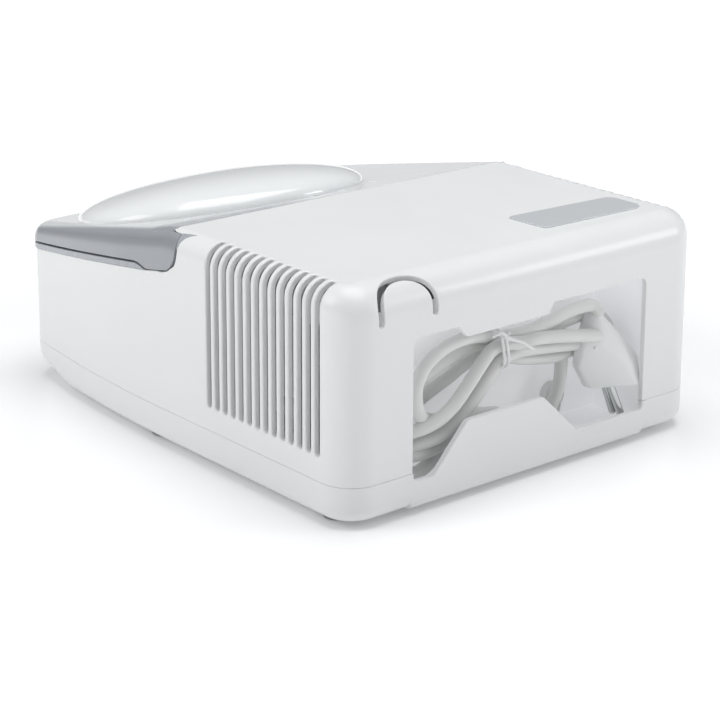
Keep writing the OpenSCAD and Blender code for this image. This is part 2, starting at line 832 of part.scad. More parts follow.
module crank_disc() {
  color("darkgray") difference() {
    union() {
      axis_rod(29.5, disc_x, 8);
      // counterweight
      intersection() {
        axis_rod(31, disc_x, 15);
        mid_box(30, 38, 20, mot_z - 20, mot_z - 3);
      }
    }
    axis_rod(20, 40, shaft_r);
    rod_x(35, 40, mot_y, crank_z + 2.7, 0.6);
  }
}
module crank_pin() {
  color("silver") union() {
    crank_rod(disc_x, 39, 4);
    crank_rod(39, 50, 2.5);
  }
}
module big_end_bearing() {
  color("silver") difference() {
    crank_rod(41.5, 46.5, bearing_r);
    crank_rod(30, 60, 2.54);
  }
}
module connecting_rod() {
  color("gainsboro") difference() {
    union() {
      crank_rod(41.5, 46.5, 9.5);
      // cross-shaped shank
      mid_box(42, 46, 4, crank_z + 7, 81);
      mid_box(40, 48, 1, crank_z + 8, 81);
      at(piston, 80) cylinder(r = 13, h = 3);
    }
    crank_rod(30, 60, bearing_r);
    at(piston, 76) cylinder(r = 1.2, h = 10);
  }
}
module cup_seal() {
  color("white") at(piston, 83) difference() {
    union() {
      cylinder(r = 14.5, h = 0.8);
      difference() {
        cylinder(r = bore_r - 0.05, h = 3);
        translate([0, 0, 0.8]) cylinder(r = bore_r - 0.9, h = 4);
      }
    }
    translate([0, 0, -1]) cylinder(r = 1.6, h = 5);
  }
}
module seal_clamp() {
  color("silver") union() {
    at(piston, 83.8) cylinder(r = 11, h = 2);
    at(piston, 77) cylinder(r = 1.2, h = 8);
    at(piston, 85.8) cylinder(r = 3, h = 0.8);
  }
}
module cylinder_sleeve() {
  color("silver") at(piston, 66) difference() {
    cylinder(r = sleeve_r, h = 22);
    translate([0, 0, -1]) cylinder(r = bore_r, h = 24);
  }
}
module pump_frame() {
  color("lightgray") difference() {
    union() {
      at(piston, 67) cylinder(r = 22.5, h = 21);
      at_each(head_bolts, 72) cylinder(r = 4, h = 16);
      mid_box(24, 28, 20, 30, plate_z);
      // feet on the base
      for (y = [mot_y - 20, mot_y + 14]) box([24, y, 18], [40, y + 6, 34]);
    }
    at(piston, 60) cylinder(r = sleeve_r, h = 30);
    // room for the bearing bracket and screws
    axis_rod(20, 30, 15.5);
    bolt_rods(20, 30, 5);
    at_each(head_bolts, 74) cylinder(r = 1.5, h = 20);
    // room for the coil
    mid_box(10, 24.2, 17.2, 66, 104);
  }
}
module valve_plate() {
  color("silver") difference() {
    head_slab(plate_z, gasket_z);
    head_bolt_holes(20);
    for (s = [-1, 1]) at([cyl_x + s * port_x, mot_y], 80) cylinder(r = 2, h = 20);
  }
}
// Thin tongue over or under a port
module reed(x, z) {
  box([x - 3, mot_y - 9, z], [x + 3, mot_y + 3, z + 0.2]);
}
module intake_reed() {
  color("silver") reed(cyl_x - port_x, plate_z - 0.25);
}
module exhaust_reed() {
  color("silver") reed(cyl_x + port_x, gasket_z + 0.05);
}
// Cutters for both head chambers
module chambers(half_x, z0, z1) {
  for (x = [cyl_x - chamber_x, cyl_x + chamber_x])
    mid_box(x - half_x, x + half_x, 13, z0, z1);
}
module head_gasket() {
  color("black") difference() {
    head_slab(gasket_z, head_z);
    chambers(6.2, 90, 93);
    head_bolt_holes(20);
  }
}
module cylinder_head() {
  color("lightgray") difference() {
    union() {
      head_slab(head_z, cap_z);
      // barbs towards the front
      for (s = [-1, 1]) rod_y(mot_y - 28, mot_y - 21, cyl_x + s * barb_x, barb_z, 3);
    }
    chambers(6, head_z - 1, head_z + 7);
    for (s = [-1, 1]) rod_y(mot_y - 40, mot_y - 12, cyl_x + s * barb_x, barb_z, 1.6);
    head_bolt_holes(40);
    // grooves between the cooling ribs
    for (i = [-4:4])
      box([cyl_x - 14, mot_y + i * 4.4 - 0.9, cap_z - 1.6],
        [cyl_x + 14, mot_y + i * 4.4 + 0.9, cap_z + 1]);
  }
}
module head_screws() {
  color("silver") {
    at_each(head_bolts, 76) cylinder(r = 1.5, h = cap_z - 76);
    at_each(head_bolts, cap_z) cylinder(r = 3, h = 2);
  }
}
// Quarter bend of a hose, standing in the hose's upright plane
module hose_bend(bend_r, hose_r, turn) {
  rotate([90, 0, 0]) rotate([0, 0, turn])
    rotate_extrude(angle = 90) translate([bend_r, 0]) circle(hose_r);
}
// Hose from a head barb at x, down and forward to a fitting
module hose(x, fitting) {
  hose_r = 3.2;
  run_z = 66;     // height of the level run
  drop_y = mot_y - 30.8;
  drop_bend = 6;
  rise_bend = 3.9;
  run = fitting - [x, drop_y];
  length = norm(run);
  difference() {
    union() {
      rod_y(drop_y, mot_y - 23, x, barb_z, 4.1);
      translate([x, drop_y, barb_z]) sphere(4.5);
      translate([x, drop_y, 0]) rotate([0, 0, atan2(run[1], run[0])]) {
        translate([0, 0, run_z + drop_bend])
          cylinder(r = hose_r, h = barb_z - run_z - drop_bend);
        translate([drop_bend, 0, run_z + drop_bend]) hose_bend(drop_bend, hose_r, 180);
        translate([drop_bend, 0, run_z]) rotate([0, 90, 0])
          cylinder(r = hose_r, h = length - drop_bend - rise_bend);
        translate([length - rise_bend, 0, run_z + rise_bend])
          hose_bend(rise_bend, hose_r, 270);
      }
    }
    rod_y(mot_y - 28, mot_y - 20, x, barb_z, 3.05);
  }
}
module outlet_hose() {
  color("white") hose(cyl_x + barb_x, outlet);
}
module intake_hose() {
  color("white") hose(cyl_x - barb_x, filter);
}

// ---------------------------------------------------------------- electrics
terminal_x = -50;           // middle terminal
terminal_y = 70;
terminal_pitch = 7.5;

module terminal_block() {
  color("ivory") difference() {
    box([terminal_x - 12, terminal_y - 8, 6], [terminal_x + 12, terminal_y + 8, 19]);
    for (i = [-1:1])
      translate([terminal_x + i * terminal_pitch, terminal_y, 12]) cylinder(r = 2.2, h = 10);
  }
}
module thermal_cutout() {
  color("dimgray") box([-7, mot_y - 6, 101.4], [7, mot_y + 2, 104.6]);
}
module internal_wiring() {
  low_x = terminal_x - terminal_pitch;
  high_x = terminal_x + terminal_pitch;
  // [x, y, z] points of each wire: from the cord, to the switch, to the coil
  wires = [
    [[cord_x, 88.7, cord_z], [high_x, terminal_y, 24], [high_x, terminal_y, 17]],
    [[low_x, terminal_y, 17], [low_x, terminal_y, 24], [-84, 40, 14], [-60, -90, 14],
      [-6, front_y + 25.4, switch_z]],
    [[terminal_x, terminal_y, 17], [terminal_x, terminal_y, 30], [-52, 84, 60],
      [-30, 84, 90], [-29.4, 60, 90]]
  ];
  color("saddlebrown") for (wire = wires) {
    for (i = [0:len(wire) - 2]) rod(wire[i], wire[i + 1], 1.2);
    for (i = [1:len(wire) - 2]) translate(wire[i]) sphere(1.25);
  }
}

// ---------------------------------------------------------------- accessories
module nebulizer_cup() {
  color([0.9, 0.95, 1, 0.5]) at(nebulizer, well_z) difference() {
    union() {
      translate([0, 0, 0.2]) cylinder(r = 6, h = 8);
      translate([0, 0, 8]) cylinder(r1 = 12, r2 = 20, h = 8);
      translate([0, 0, 16]) cylinder(r = 20, h = 14);
    }
    translate([0, 0, 10]) cylinder(r1 = 9, r2 = 18.4, h = 7);
    translate([0, 0, 16.9]) cylinder(r = 18.4, h = 20);
    translate([0, 0, -1]) cylinder(r = 1.6, h = 12);
  }
}
module nebulizer_jet() {
  color("white") at(nebulizer, well_z + 10.4) difference() {
    cylinder(r1 = 6, r2 = 3.5, h = 15);
    translate([0, 0, -1]) cylinder(r1 = 4.5, r2 = 1, h = 15);
  }
}
module nebulizer_cap() {
  color([0.85, 0.9, 0.95, 0.6]) at(nebulizer, well_z + 30) difference() {
    union() {
      cylinder(r = 20.4, h = 3);
      translate([0, 0, 3]) cylinder(r1 = 20, r2 = 10, h = 7);
      translate([0, 0, 9]) cylinder(r = 9.5, h = 9);
    }
    translate([0, 0, -1]) cylinder(r = 18, h = 3);
    translate([0, 0, 1.99]) cylinder(r1 = 18, r2 = 8, h = 6.5);
    translate([0, 0, 1]) cylinder(r = 7.6, h = 20);
  }
}
// Round socket that turns into a flattened mouth end
module mouthpiece() {
  color("white") translate([-62, -100, well_z + 10]) rotate([0, 0, 90]) difference() {
    union() {
      rod_x(-12, 12, 0, 0, 9.6);
      along_x(12, 42) rounded_rect([-9.5, -6.5], [9.5, 6.5], 6);
    }
    rod_x(-14, 13, 0, 0, 8);
    along_x(10, 44) rounded_rect([-7.8, -4.8], [7.8, 4.8], 4.7);
  }
}
// Coiled tube, drawn as stacked rings
module air_tube() {
  color([0.95, 0.97, 1, 0.6]) for (turn = [0:2])
    translate([53, -74, well_z + 3.2 + 6.1 * turn])
      rotate_extrude() translate([30, 0]) circle(3, $fn = 32);
}

upper_shell();
lower_shell();
lid_frame();
lid_dome();
deck_trim();
hinge_pins();
badge_plate();
accessory_tray();
rubber_feet();
casing_screws();
cable_bay_liner();
switch_housing();
switch_rocker();
air_outlet_nozzle();
filter_cover();
air_filter();
cord_grip();
power_cord();
cord_tie();
plug_body();
plug_pins();
base_frame();
vibration_mounts();
stator_stack();
coil_bobbin();
coil_winding();
shading_rings();
bearing_brackets();
bearing_bushes();
motor_screws();
rotor_core();
motor_shaft();
cooling_fan();
crank_disc();
crank_pin();
big_end_bearing();
connecting_rod();
cup_seal();
seal_clamp();
cylinder_sleeve();
pump_frame();
valve_plate();
intake_reed();
exhaust_reed();
head_gasket();
cylinder_head();
head_screws();
outlet_hose();
intake_hose();
terminal_block();
thermal_cutout();
internal_wiring();
nebulizer_cup();
nebulizer_cap();
nebulizer_jet();
mouthpiece();
air_tube();
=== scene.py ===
"""Looks of a small piston pump: white casing, smoked lid with a clear dome, badge, cord, plug, feet.

The unit stands on z = 0. +Y is the rear, with the cord opening, -Y the front, and X runs across.
The lid turns about an axis along X at HINGE. Sizes are in mm; meshes are written in metres.

The casing surfaces are charts. "run" is the distance round the plan outline from the middle of
the rear, positive towards +X. "rise" climbs the wall, or falls below the seam on the lower shell.
"""
import json
import math
import bmesh
import bpy
import numpy as np
from mathutils import Matrix, Vector, kdtree
from mathutils.geometry import delaunay_2d_cdt

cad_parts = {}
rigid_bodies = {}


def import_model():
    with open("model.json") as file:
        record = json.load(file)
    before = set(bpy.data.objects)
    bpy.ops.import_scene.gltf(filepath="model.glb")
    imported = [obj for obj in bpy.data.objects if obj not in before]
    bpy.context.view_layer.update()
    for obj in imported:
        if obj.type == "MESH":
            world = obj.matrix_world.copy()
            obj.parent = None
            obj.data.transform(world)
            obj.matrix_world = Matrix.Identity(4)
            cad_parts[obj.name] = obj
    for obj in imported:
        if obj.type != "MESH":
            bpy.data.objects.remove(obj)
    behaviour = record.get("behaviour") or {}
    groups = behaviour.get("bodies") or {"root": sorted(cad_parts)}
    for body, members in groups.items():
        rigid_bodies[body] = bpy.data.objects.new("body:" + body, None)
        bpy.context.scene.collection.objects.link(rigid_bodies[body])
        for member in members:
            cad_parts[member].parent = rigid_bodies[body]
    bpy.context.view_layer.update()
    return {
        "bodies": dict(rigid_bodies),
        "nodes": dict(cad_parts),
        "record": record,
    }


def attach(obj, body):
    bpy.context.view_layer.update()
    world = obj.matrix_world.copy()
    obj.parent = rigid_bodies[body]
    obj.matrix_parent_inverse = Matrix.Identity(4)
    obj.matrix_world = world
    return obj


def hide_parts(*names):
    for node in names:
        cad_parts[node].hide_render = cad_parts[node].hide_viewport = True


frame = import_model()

NODES = frame["nodes"]
PI = math.pi

# ---------------------------------------------------------------- driving dimensions
HALF_WIDTH, REAR_Y, FRONT_Y = 110.0, 138.0, -138.0
TOP, SEAM = 108.0, 20.0          # top of the casing, joint of the two shells
WALL = 2.6
REAR_CORNER_R = 16.5             # plan radii: rear corners, bowed sides, front corners, bowed front
SIDE_BOW_R, FRONT_CORNER_R, FRONT_BOW_R = 840.0, 17.0, 700.0
SIDE_R, REAR_R = 10.5, 15.0      # round of the top edge along the sides and along the rear
TOP_INSET = 16.4                 # from the wall to the flat top sheet
HINGE = (1.0, 100.5)             # lid axis (y, z)
EAR_R, POCKET_R = 13.2, 13.75    # lid ears and the casing pockets they turn in
LID_Y = 6.0                      # front edge of the flat top; forward of it the deck slopes down
KNEE_Y = -9.0                    # where the sloping rim meets the ear pocket
CASING_FRONT_Y, LID_REAR_Y = 6.15, 5.85


def smoothstep(x, low, high):
    part = np.clip((np.asarray(x, float) - low) / (high - low), 0, 1)
    return part * part * (3 - 2 * part)


def rim_height(y):
    """Height of the casing's side rim under the lid."""
    return 87.4 + 0.1417 * (y - LID_Y)


def deck_height(y):
    """Height of the top, level at the rear and sloping forward of LID_Y."""
    return TOP + 0.2 * np.minimum(np.asarray(y, float) - LID_Y, 0.0)


def unit(vector):
    vector = np.asarray(vector, float)
    return vector / np.maximum(np.linalg.norm(vector, axis=-1, keepdims=True), 1e-12)


def with_z(xy, z):
    return np.column_stack([xy, np.broadcast_to(z, len(xy))])


# ---------------------------------------------------------------- mesh gathering
class Skin:
    """Faces gathered with their corner normals, then welded into one object."""

    def __init__(self):
        self.points, self.normals, self.sizes = [], [], []

    def faces(self, points, normals):
        """Add triangles or quads, turned to agree with their normals."""
        points = np.array(points, float)
        if len(points) == 0:
            return
        normals = np.array(np.broadcast_to(np.asarray(normals, float), points.shape))
        if points.shape[1] == 4:
            facing = np.cross(points[:, 2] - points[:, 0], points[:, 3] - points[:, 1])
        else:
            facing = np.cross(points[:, 1] - points[:, 0], points[:, 2] - points[:, 0])
        solid = np.linalg.norm(facing, axis=1) > 1e-7
        points, normals, facing = points[solid], normals[solid], facing[solid]
        wrong = (facing * normals.mean(1)).sum(1) < 0
        points[wrong] = points[wrong][:, ::-1]
        normals[wrong] = normals[wrong][:, ::-1]
        self.points.append(points.reshape(-1, 3))
        self.normals.append(normals.reshape(-1, 3))
        self.sizes.append(np.full(len(points), points.shape[1]))

    def strip(self, ring, normal, other, other_normal, use=None):
        """Quads between two closed rings of equal length, only where `use` is true."""
        i = np.arange(len(ring)) if use is None else np.flatnonzero(use)
        j = (i + 1) % len(ring)
        self.faces(np.stack([ring[i], ring[j], other[j], other[i]], 1),
                   np.stack([normal[i], normal[j], other_normal[j], other_normal[i]], 1))

    def fan(self, ring, normal, tip, tip_normal):
        """Triangles from a closed ring to one point."""
        count = len(ring)
        i = np.arange(count)
        j = (i + 1) % count
        normal = np.broadcast_to(normal, ring.shape)
        self.faces(np.stack([ring[i], ring[j], np.tile(tip, (count, 1))], 1),
                   np.stack([normal[i], normal[j], np.tile(tip_normal, (count, 1))], 1))

    def build(self, name, warp=None):
        points, normals = np.vstack(self.points), np.vstack(self.normals)
        sizes = np.concatenate(self.sizes)
        if warp is not None:
            points = warp(points)
        welded, index = np.unique(np.round(points, 4) + 0.0, axis=0, return_inverse=True)
        index = index.reshape(-1)
        starts = np.concatenate([[0], np.cumsum(sizes)[:-1]])
        faces, corner_normals, seen = [], [], set()
        for start, size in zip(starts.tolist(), sizes.tolist()):
            ids = index[start:start + size].tolist()
            keep = [k for k in range(size) if ids[k] != ids[k - 1]]
            face = [ids[k] for k in keep]
            if len(face) < 3 or len(set(face)) < len(face):
                continue
            key = tuple(sorted(face))
            if key in seen:
                continue
            seen.add(key)
            faces.append(face)
            corner_normals += [normals[start + k] for k in keep]
        mesh = bpy.data.meshes.new(name)
        mesh.from_pydata((welded * 0.001).tolist(), [], faces)
        mesh.update()
        mesh.shade_smooth()
        mesh.normals_split_custom_set(unit(np.array(corner_normals)).tolist())
        return link_object(name, mesh)


def link_object(name, data):
    thing = bpy.data.objects.new(name, data)
    bpy.context.scene.collection.objects.link(thing)
    return thing


# ---------------------------------------------------------------- plane outlines
def inside(polygon, points):
    x, y = points[:, 0], points[:, 1]
    result = np.zeros(len(points), bool)
    for (x0, y0), (x1, y1) in zip(polygon, np.roll(polygon, -1, 0)):
        if y0 != y1:
            spans = (y0 > y) != (y1 > y)
            result ^= spans & (x < (x1 - x0) * (y - y0) / (y1 - y0) + x0)
    return result


def area(polygon):
    x, y = polygon[:, 0], polygon[:, 1]
    return 0.5 * float(np.sum(x * np.roll(y, -1) - y * np.roll(x, -1)))


def arc(centre, radius, start, end, count):
    angle = np.radians(np.linspace(start, end, count))
    return np.stack([centre[0] + radius * np.cos(angle), centre[1] + radius * np.sin(angle)], 1)


def rounded(corners, radii, steps=6):
    """Closed outline through the corners with rounded turns."""
    corners = np.asarray(corners, float)
    count = len(corners)
    radii = radii if hasattr(radii, "__len__") else [radii] * count
    out = []
    for i, (corner, radius) in enumerate(zip(corners, radii)):
        back, ahead = unit(corners[i - 1] - corner), unit(corners[(i + 1) % count] - corner)
        angle = math.acos(float(np.clip((back * ahead).sum(), -1, 1)))
        if radius <= 0 or abs(angle - PI) < 1e-3:
            out.append(corner[None])
            continue
        cut = radius / math.tan(angle / 2)
        centre = corner + unit(back + ahead) * (radius / math.sin(angle / 2))
        first, last = corner + back * cut - centre, corner + ahead * cut - centre
        start, end = math.atan2(first[1], first[0]), math.atan2(last[1], last[0])
        sweep = (end - start + PI) % (2 * PI) - PI
        turn = start + sweep * np.linspace(0, 1, steps + 1)
        out.append(np.stack([centre[0] + radius * np.cos(turn),
                             centre[1] + radius * np.sin(turn)], 1))
    return np.vstack(out)


def densify(path, step, closed=False):
    path = np.asarray(path, float)
    if closed:
        path = np.vstack([path, path[:1]])
    out = []
    for start, end in zip(path[:-1], path[1:]):
        count = max(1, int(math.ceil(np.linalg.norm(end - start) / step)))
        out.append(start + (end - start) * (np.arange(count) / count)[:, None])
    if not closed:
        out.append(path[-1:])
    return np.vstack(out)


def join_chains(chains):
    """Closed outline from (points, free) chains, each ending where the next begins."""
    points, free = [], []
    for chain, is_free in chains:
        points.append(np.asarray(chain)[:-1])
        free += [is_free] * (len(chain) - 1)
    return np.vstack(points), np.array(free)


def mirror(chain):
    """The chain on the -X side, run backwards."""
    return np.stack([-chain[:, 0], chain[:, 1]], 1)[::-1]


def grid(first, second):
    columns, rows = np.meshgrid(first, second)
    return np.stack([columns.ravel(), rows.ravel()], 1)


# ---------------------------------------------------------------- sheets with rounded edges
def inward_moves(points, free):
    """Unit move of each vertex into the material, which lies to the left of the outline."""
    edge = unit(np.roll(points, -1, 0) - points)
    normal = np.stack([-edge[:, 1], edge[:, 0]], 1)
    edge_before, normal_before = np.roll(edge, 1, 0), np.roll(normal, 1, 0)
    free_before = np.roll(free, 1)
    moves = np.zeros_like(points)
    both = free_before & free
    spread = np.maximum(1 + (normal_before * normal).sum(1), 0.3)
    moves[both] = (normal_before + normal)[both] / spread[both][:, None]
    # where a free edge meets a joined one, the vertex slides along the joined edge
    for mask, slide, across in ((free_before & ~free, edge, normal_before),
                                (~free_before & free, -edge_before, normal)):
        rate = (across * slide).sum(1)[mask]
        moves[mask] = slide[mask] / np.where(np.abs(rate) < 0.2, 1, rate)[:, None]
    return moves


def triangulate(bounds, points):
    """Triangles inside the first bound and outside the others."""
    given = np.vstack(bounds + [points])
    edges, first = [], 0
    for bound in bounds:
        count = len(bound)
        edges += [(first + i, first + (i + 1) % count) for i in range(count)]
        first += count
    result = delaunay_2d_cdt([Vector(v) for v in given.tolist()], edges, [], 0, 1e-5)
    verts = np.array([given[source[0]] if len(source) else (v.x, v.y)
                      for v, source in zip(result[0], result[3])])
    triangles = np.array([t for t in result[2] if len(t) == 3], int)
    centres = verts[triangles].mean(1)
    keep = inside(bounds[0], centres)
    for hole in bounds[1:]:
        keep &= ~inside(hole, centres)
    return verts, triangles[keep]


def sheet(skin, surface, outer, free, holes, points, thick=WALL, radius=0.45, hole_radii=None,
          steps=4, clear=0.8):
    """A wall over surface(chart points) with rounded free edges and rounded holes.

    `points` are inner grid points; those closer than `clear` to an edge are left out.
    """
    outer, free = np.asarray(outer, float), np.asarray(free, bool)
    if area(outer) < 0:
        outer = outer[::-1]
        free = np.roll(free[::-1], -1)
    loops = [(outer, free, inward_moves(outer, free), radius)]
    for hole, hole_radius in zip(holes, hole_radii or [radius] * len(holes)):
        hole = np.asarray(hole, float)
        if area(hole) > 0:
            hole = hole[::-1]
        all_free = np.ones(len(hole), bool)
        loops.append((hole, all_free, inward_moves(hole, all_free), hole_radius))
    bounds = [edge + move * size for edge, _, move, size in loops]

    points = np.asarray(points, float)
    points = points[inside(bounds[0], points)]
    for bound in bounds[1:]:
        points = points[~inside(bound, points)]
    dense = np.vstack([densify(bound, 0.7, closed=True) for bound in bounds])
    tree = kdtree.KDTree(len(dense))
    for i, (x, y) in enumerate(dense.tolist()):
        tree.insert((x, y, 0), i)
    tree.balance()
    spaced = [(x, y) for x, y in points.tolist() if tree.find((x, y, 0))[2] > clear]
    verts, triangles = triangulate(bounds, np.array(spaced or np.zeros((0, 2))))

    place, normal = surface(verts)
    skin.faces(place[triangles], normal[triangles])
    skin.faces((place - thick * normal)[triangles], -normal[triangles])
    for edge, is_free, move, size in loops:
        place, normal = surface(edge)
        outward = place - surface(edge + move * 0.05)[0]
        outward = unit(outward - (outward * normal).sum(1)[:, None] * normal)
        last = None
        for k in range(steps + 1):
            turn = k / steps * PI / 2
            ring, lean = surface(edge + move * (size * (1 - math.sin(turn))))
            ring = ring - size * (1 - math.cos(turn)) * lean
            lean = unit(math.cos(turn) * lean + math.sin(turn) * outward)
            if last is not None:
                skin.strip(*last, ring, lean, use=is_free)
            last = (ring, lean)
        foot = place - thick * normal
        skin.strip(last[0], outward, foot, outward, use=is_free)
        back, lean = surface(edge + move * size)
        skin.strip(foot, -normal, back - thick * lean, -lean, use=is_free)


def level_surface(z, up=1.0):
    """Flat surface at height z, facing up (1) or down (-1)."""
    return lambda xy: (with_z(xy, z), np.tile([0.0, 0, up], (len(xy), 1)))


# ---------------------------------------------------------------- plan outline of the casing
class Outline:
    """Symmetric plan outline: rear, rear corner, side, bowed side, front corner, bowed front."""

    def __init__(self):
        side_centre = np.array([HALF_WIDTH - SIDE_BOW_R, LID_Y])
        front_centre = np.array([0.0, FRONT_Y + FRONT_BOW_R])
        # the front corner arc touches both bows from inside
        apart = np.linalg.norm(front_centre - side_centre)
        side_reach = SIDE_BOW_R - FRONT_CORNER_R
        front_reach = FRONT_BOW_R - FRONT_CORNER_R
        along = (side_reach ** 2 - front_reach ** 2 + apart * apart) / (2 * apart)
        across = math.sqrt(side_reach ** 2 - along * along)
        toward = (front_centre - side_centre) / apart
        corner = side_centre + along * toward + across * np.array([toward[1], -toward[0]])
        side_end = math.atan2(*(corner - side_centre)[::-1])
        front_start = math.atan2(*(corner - front_centre)[::-1])
        rear_x, self.side_y = HALF_WIDTH - REAR_CORNER_R, REAR_Y - REAR_CORNER_R
        # lines: start, end, normal; arcs: centre, radius, start angle, end angle
        self.parts = [
            (np.array([0, REAR_Y]), np.array([rear_x, REAR_Y]), np.array([0.0, 1.0])),
            (np.array([rear_x, self.side_y]), REAR_CORNER_R, PI / 2, 0.0),
            (np.array([HALF_WIDTH, self.side_y]), np.array([HALF_WIDTH, LID_Y]),
             np.array([1.0, 0.0])),
            (side_centre, SIDE_BOW_R, 0.0, side_end),
            (corner, FRONT_CORNER_R, side_end, front_start),
            (front_centre, FRONT_BOW_R, front_start, -PI / 2)]
        lengths = [float(np.linalg.norm(part[1] - part[0])) if len(part) == 3
                   else abs(part[3] - part[2]) * part[1] for part in self.parts]
        self.knots = np.concatenate([[0], np.cumsum(lengths)])
        self.half = float(self.knots[-1])

    def __call__(self, run):
        """Points (x, y) and outward normals at the given runs."""
        run = np.asarray(run, float)
        side = np.where(run < 0, -1.0, 1.0)
        dist = np.clip(np.abs(run), 0, self.half)
        place, normal = np.zeros(run.shape + (2,)), np.zeros(run.shape + (2,))
        for i, part in enumerate(self.parts):
            low, high = self.knots[i], self.knots[i + 1]
            is_last = i == len(self.parts) - 1
            here = (dist >= low) & ((dist <= high) if is_last else (dist < high))
            share = (dist[here] - low) / (high - low)
            if len(part) == 3:
                place[here] = part[0] + (part[1] - part[0]) * share[..., None]
                normal[here] = part[2]
            else:
                centre, radius, start, end = part
                turn = start + (end - start) * share
                normal[here] = np.stack([np.cos(turn), np.sin(turn)], -1)
                place[here] = centre + radius * normal[here]
        place[..., 0] *= side
        normal[..., 0] *= side
        return place, normal

    def run_at(self, y):
        """Run of the +X side's point at depth y."""
        y = np.asarray(y, float)
        angle = np.arcsin(np.clip((LID_Y - y) / SIDE_BOW_R, -1, 1))
        return np.where(y >= LID_Y, self.knots[2] + self.side_y - y,
                        self.knots[3] + SIDE_BOW_R * angle)

    def samples(self, start, end, step=6.0):
        """Runs from start to end through every knot, finer in the corners."""
        knots = self.knots
        inner = [k for k in np.concatenate([-knots[::-1], knots]) if start < k < end]
        stops = np.unique(np.round([start] + inner + [end], 6))
        out = []
        for low, high in zip(stops[:-1], stops[1:]):
            middle = abs(0.5 * (low + high))
            corner = knots[1] < middle < knots[2] or knots[4] < middle < knots[5]
            count = max(1, int(math.ceil((high - low) / (1.6 if corner else step))))
            out.append(np.linspace(low, high, count, endpoint=False))
        return np.concatenate(out + [[stops[-1]]])


outline = Outline()
HALF = outline.half

# ---------------------------------------------------------------- upper shell surface
HEIGHT = TOP - SEAM
WALL_RISE = HEIGHT - REAR_R                 # rise at the foot of the edge round
ROUND_RISE = WALL_RISE + REAR_R * PI / 2    # rise at the end of the edge round
MARGIN = 3.44                               # flat margin between the round and the top sheet
MARGIN_RISE = ROUND_RISE + MARGIN


def shell_surface(chart):
    """Casing wall, edge round and margin of the top over (run, rise)."""
    run, rise = chart[:, 0], chart[:, 1]
    place, normal = outline(run)
    to_side = smoothstep(np.abs(run), outline.knots[1] - 2, outline.knots[2] + 2)
    radius = REAR_R + (SIDE_R - REAR_R) * to_side
    turn = np.clip((rise - WALL_RISE) / REAR_R, 0, PI / 2)
    margin = np.clip((rise - ROUND_RISE) / MARGIN, 0, 1)
    inset = radius * (1 - np.cos(turn)) + margin * (TOP_INSET - radius)
    z = np.where(rise <= WALL_RISE, SEAM + rise / WALL_RISE * (HEIGHT - radius),
                 TOP - radius + radius * np.sin(turn))
    return (with_z(place - inset[:, None] * normal, z),
            with_z(np.cos(turn)[:, None] * normal, np.sin(turn)))


def rise_at_height(z):
    """Rise on the sides at height z."""
    z = np.asarray(z, float)
    on_round = np.arcsin(np.clip((z - (TOP - SIDE_R)) / SIDE_R, 0, 1))
    return np.where(z <= TOP - SIDE_R, (z - SEAM) * WALL_RISE / (HEIGHT - SIDE_R),
                    WALL_RISE + REAR_R * on_round)


def rise_at_inset(inset):
    """Rise on the side's edge round at an inset from the wall."""
    return WALL_RISE + REAR_R * math.acos(1 - inset / SIDE_R)


def rise_at_arc(length):
    """Rise on the sides at a true length from the start of the edge round."""
    return np.where(length < 0, WALL_RISE + length * WALL_RISE / (HEIGHT - SIDE_R),
                    WALL_RISE + length / SIDE_R * REAR_R)


# ---------------------------------------------------------------- upper shell
TOP_FRONT_RUN = float(outline.run_at(CASING_FRONT_Y))
KNEE_RUN = float(outline.run_at(KNEE_Y))
TOP_RUNS = outline.samples(-TOP_FRONT_RUN, TOP_FRONT_RUN)[::-1]

VENT_WIDTH, VENT_FOOT_Z, VENT_TIP_INSET = 3.3, 31.2, 10.3
VENT_FIRST_Y, VENT_PITCH, VENT_COUNT = 39.7, 6.03, 14

# rear opening above the seam: (x, rise, corner radius)
REAR_OPENING = [(72.4, 0, 0), (72.4, 61.5, 4.6), (46.2, 61.5, 1.8), (41.2, 56.0, 2.2),
                (-8.4, 56.0, 2.2), (-12.2, 61.4, 1.2), (-72.6, 61.4, 3.6), (-72.6, 0, 0)]


def vent_outline(run, side):
    """One upright slot that climbs the side wall and the edge round."""
    half = VENT_WIDTH / 2
    foot = VENT_FOOT_Z + half - (TOP - SIDE_R)
    tip = SIDE_R * math.acos(1 - VENT_TIP_INSET / SIDE_R) - half
    length = np.concatenate([np.linspace(foot, 0, 12)[:-1], np.linspace(0, tip, 10)])
    upper, lower = np.linspace(0, PI, 9)[1:-1], np.linspace(PI, 2 * PI, 9)[1:-1]
    points = np.vstack([
        np.stack([np.full(len(length), half), length], 1),
        np.stack([half * np.cos(upper), tip + half * np.sin(upper)], 1),
        np.stack([np.full(len(length), -half), length[::-1]], 1),
        np.stack([half * np.cos(lower), foot + half * np.sin(lower)], 1)])
    return np.stack([side * (run + points[:, 0]), rise_at_arc(points[:, 1])], 1)


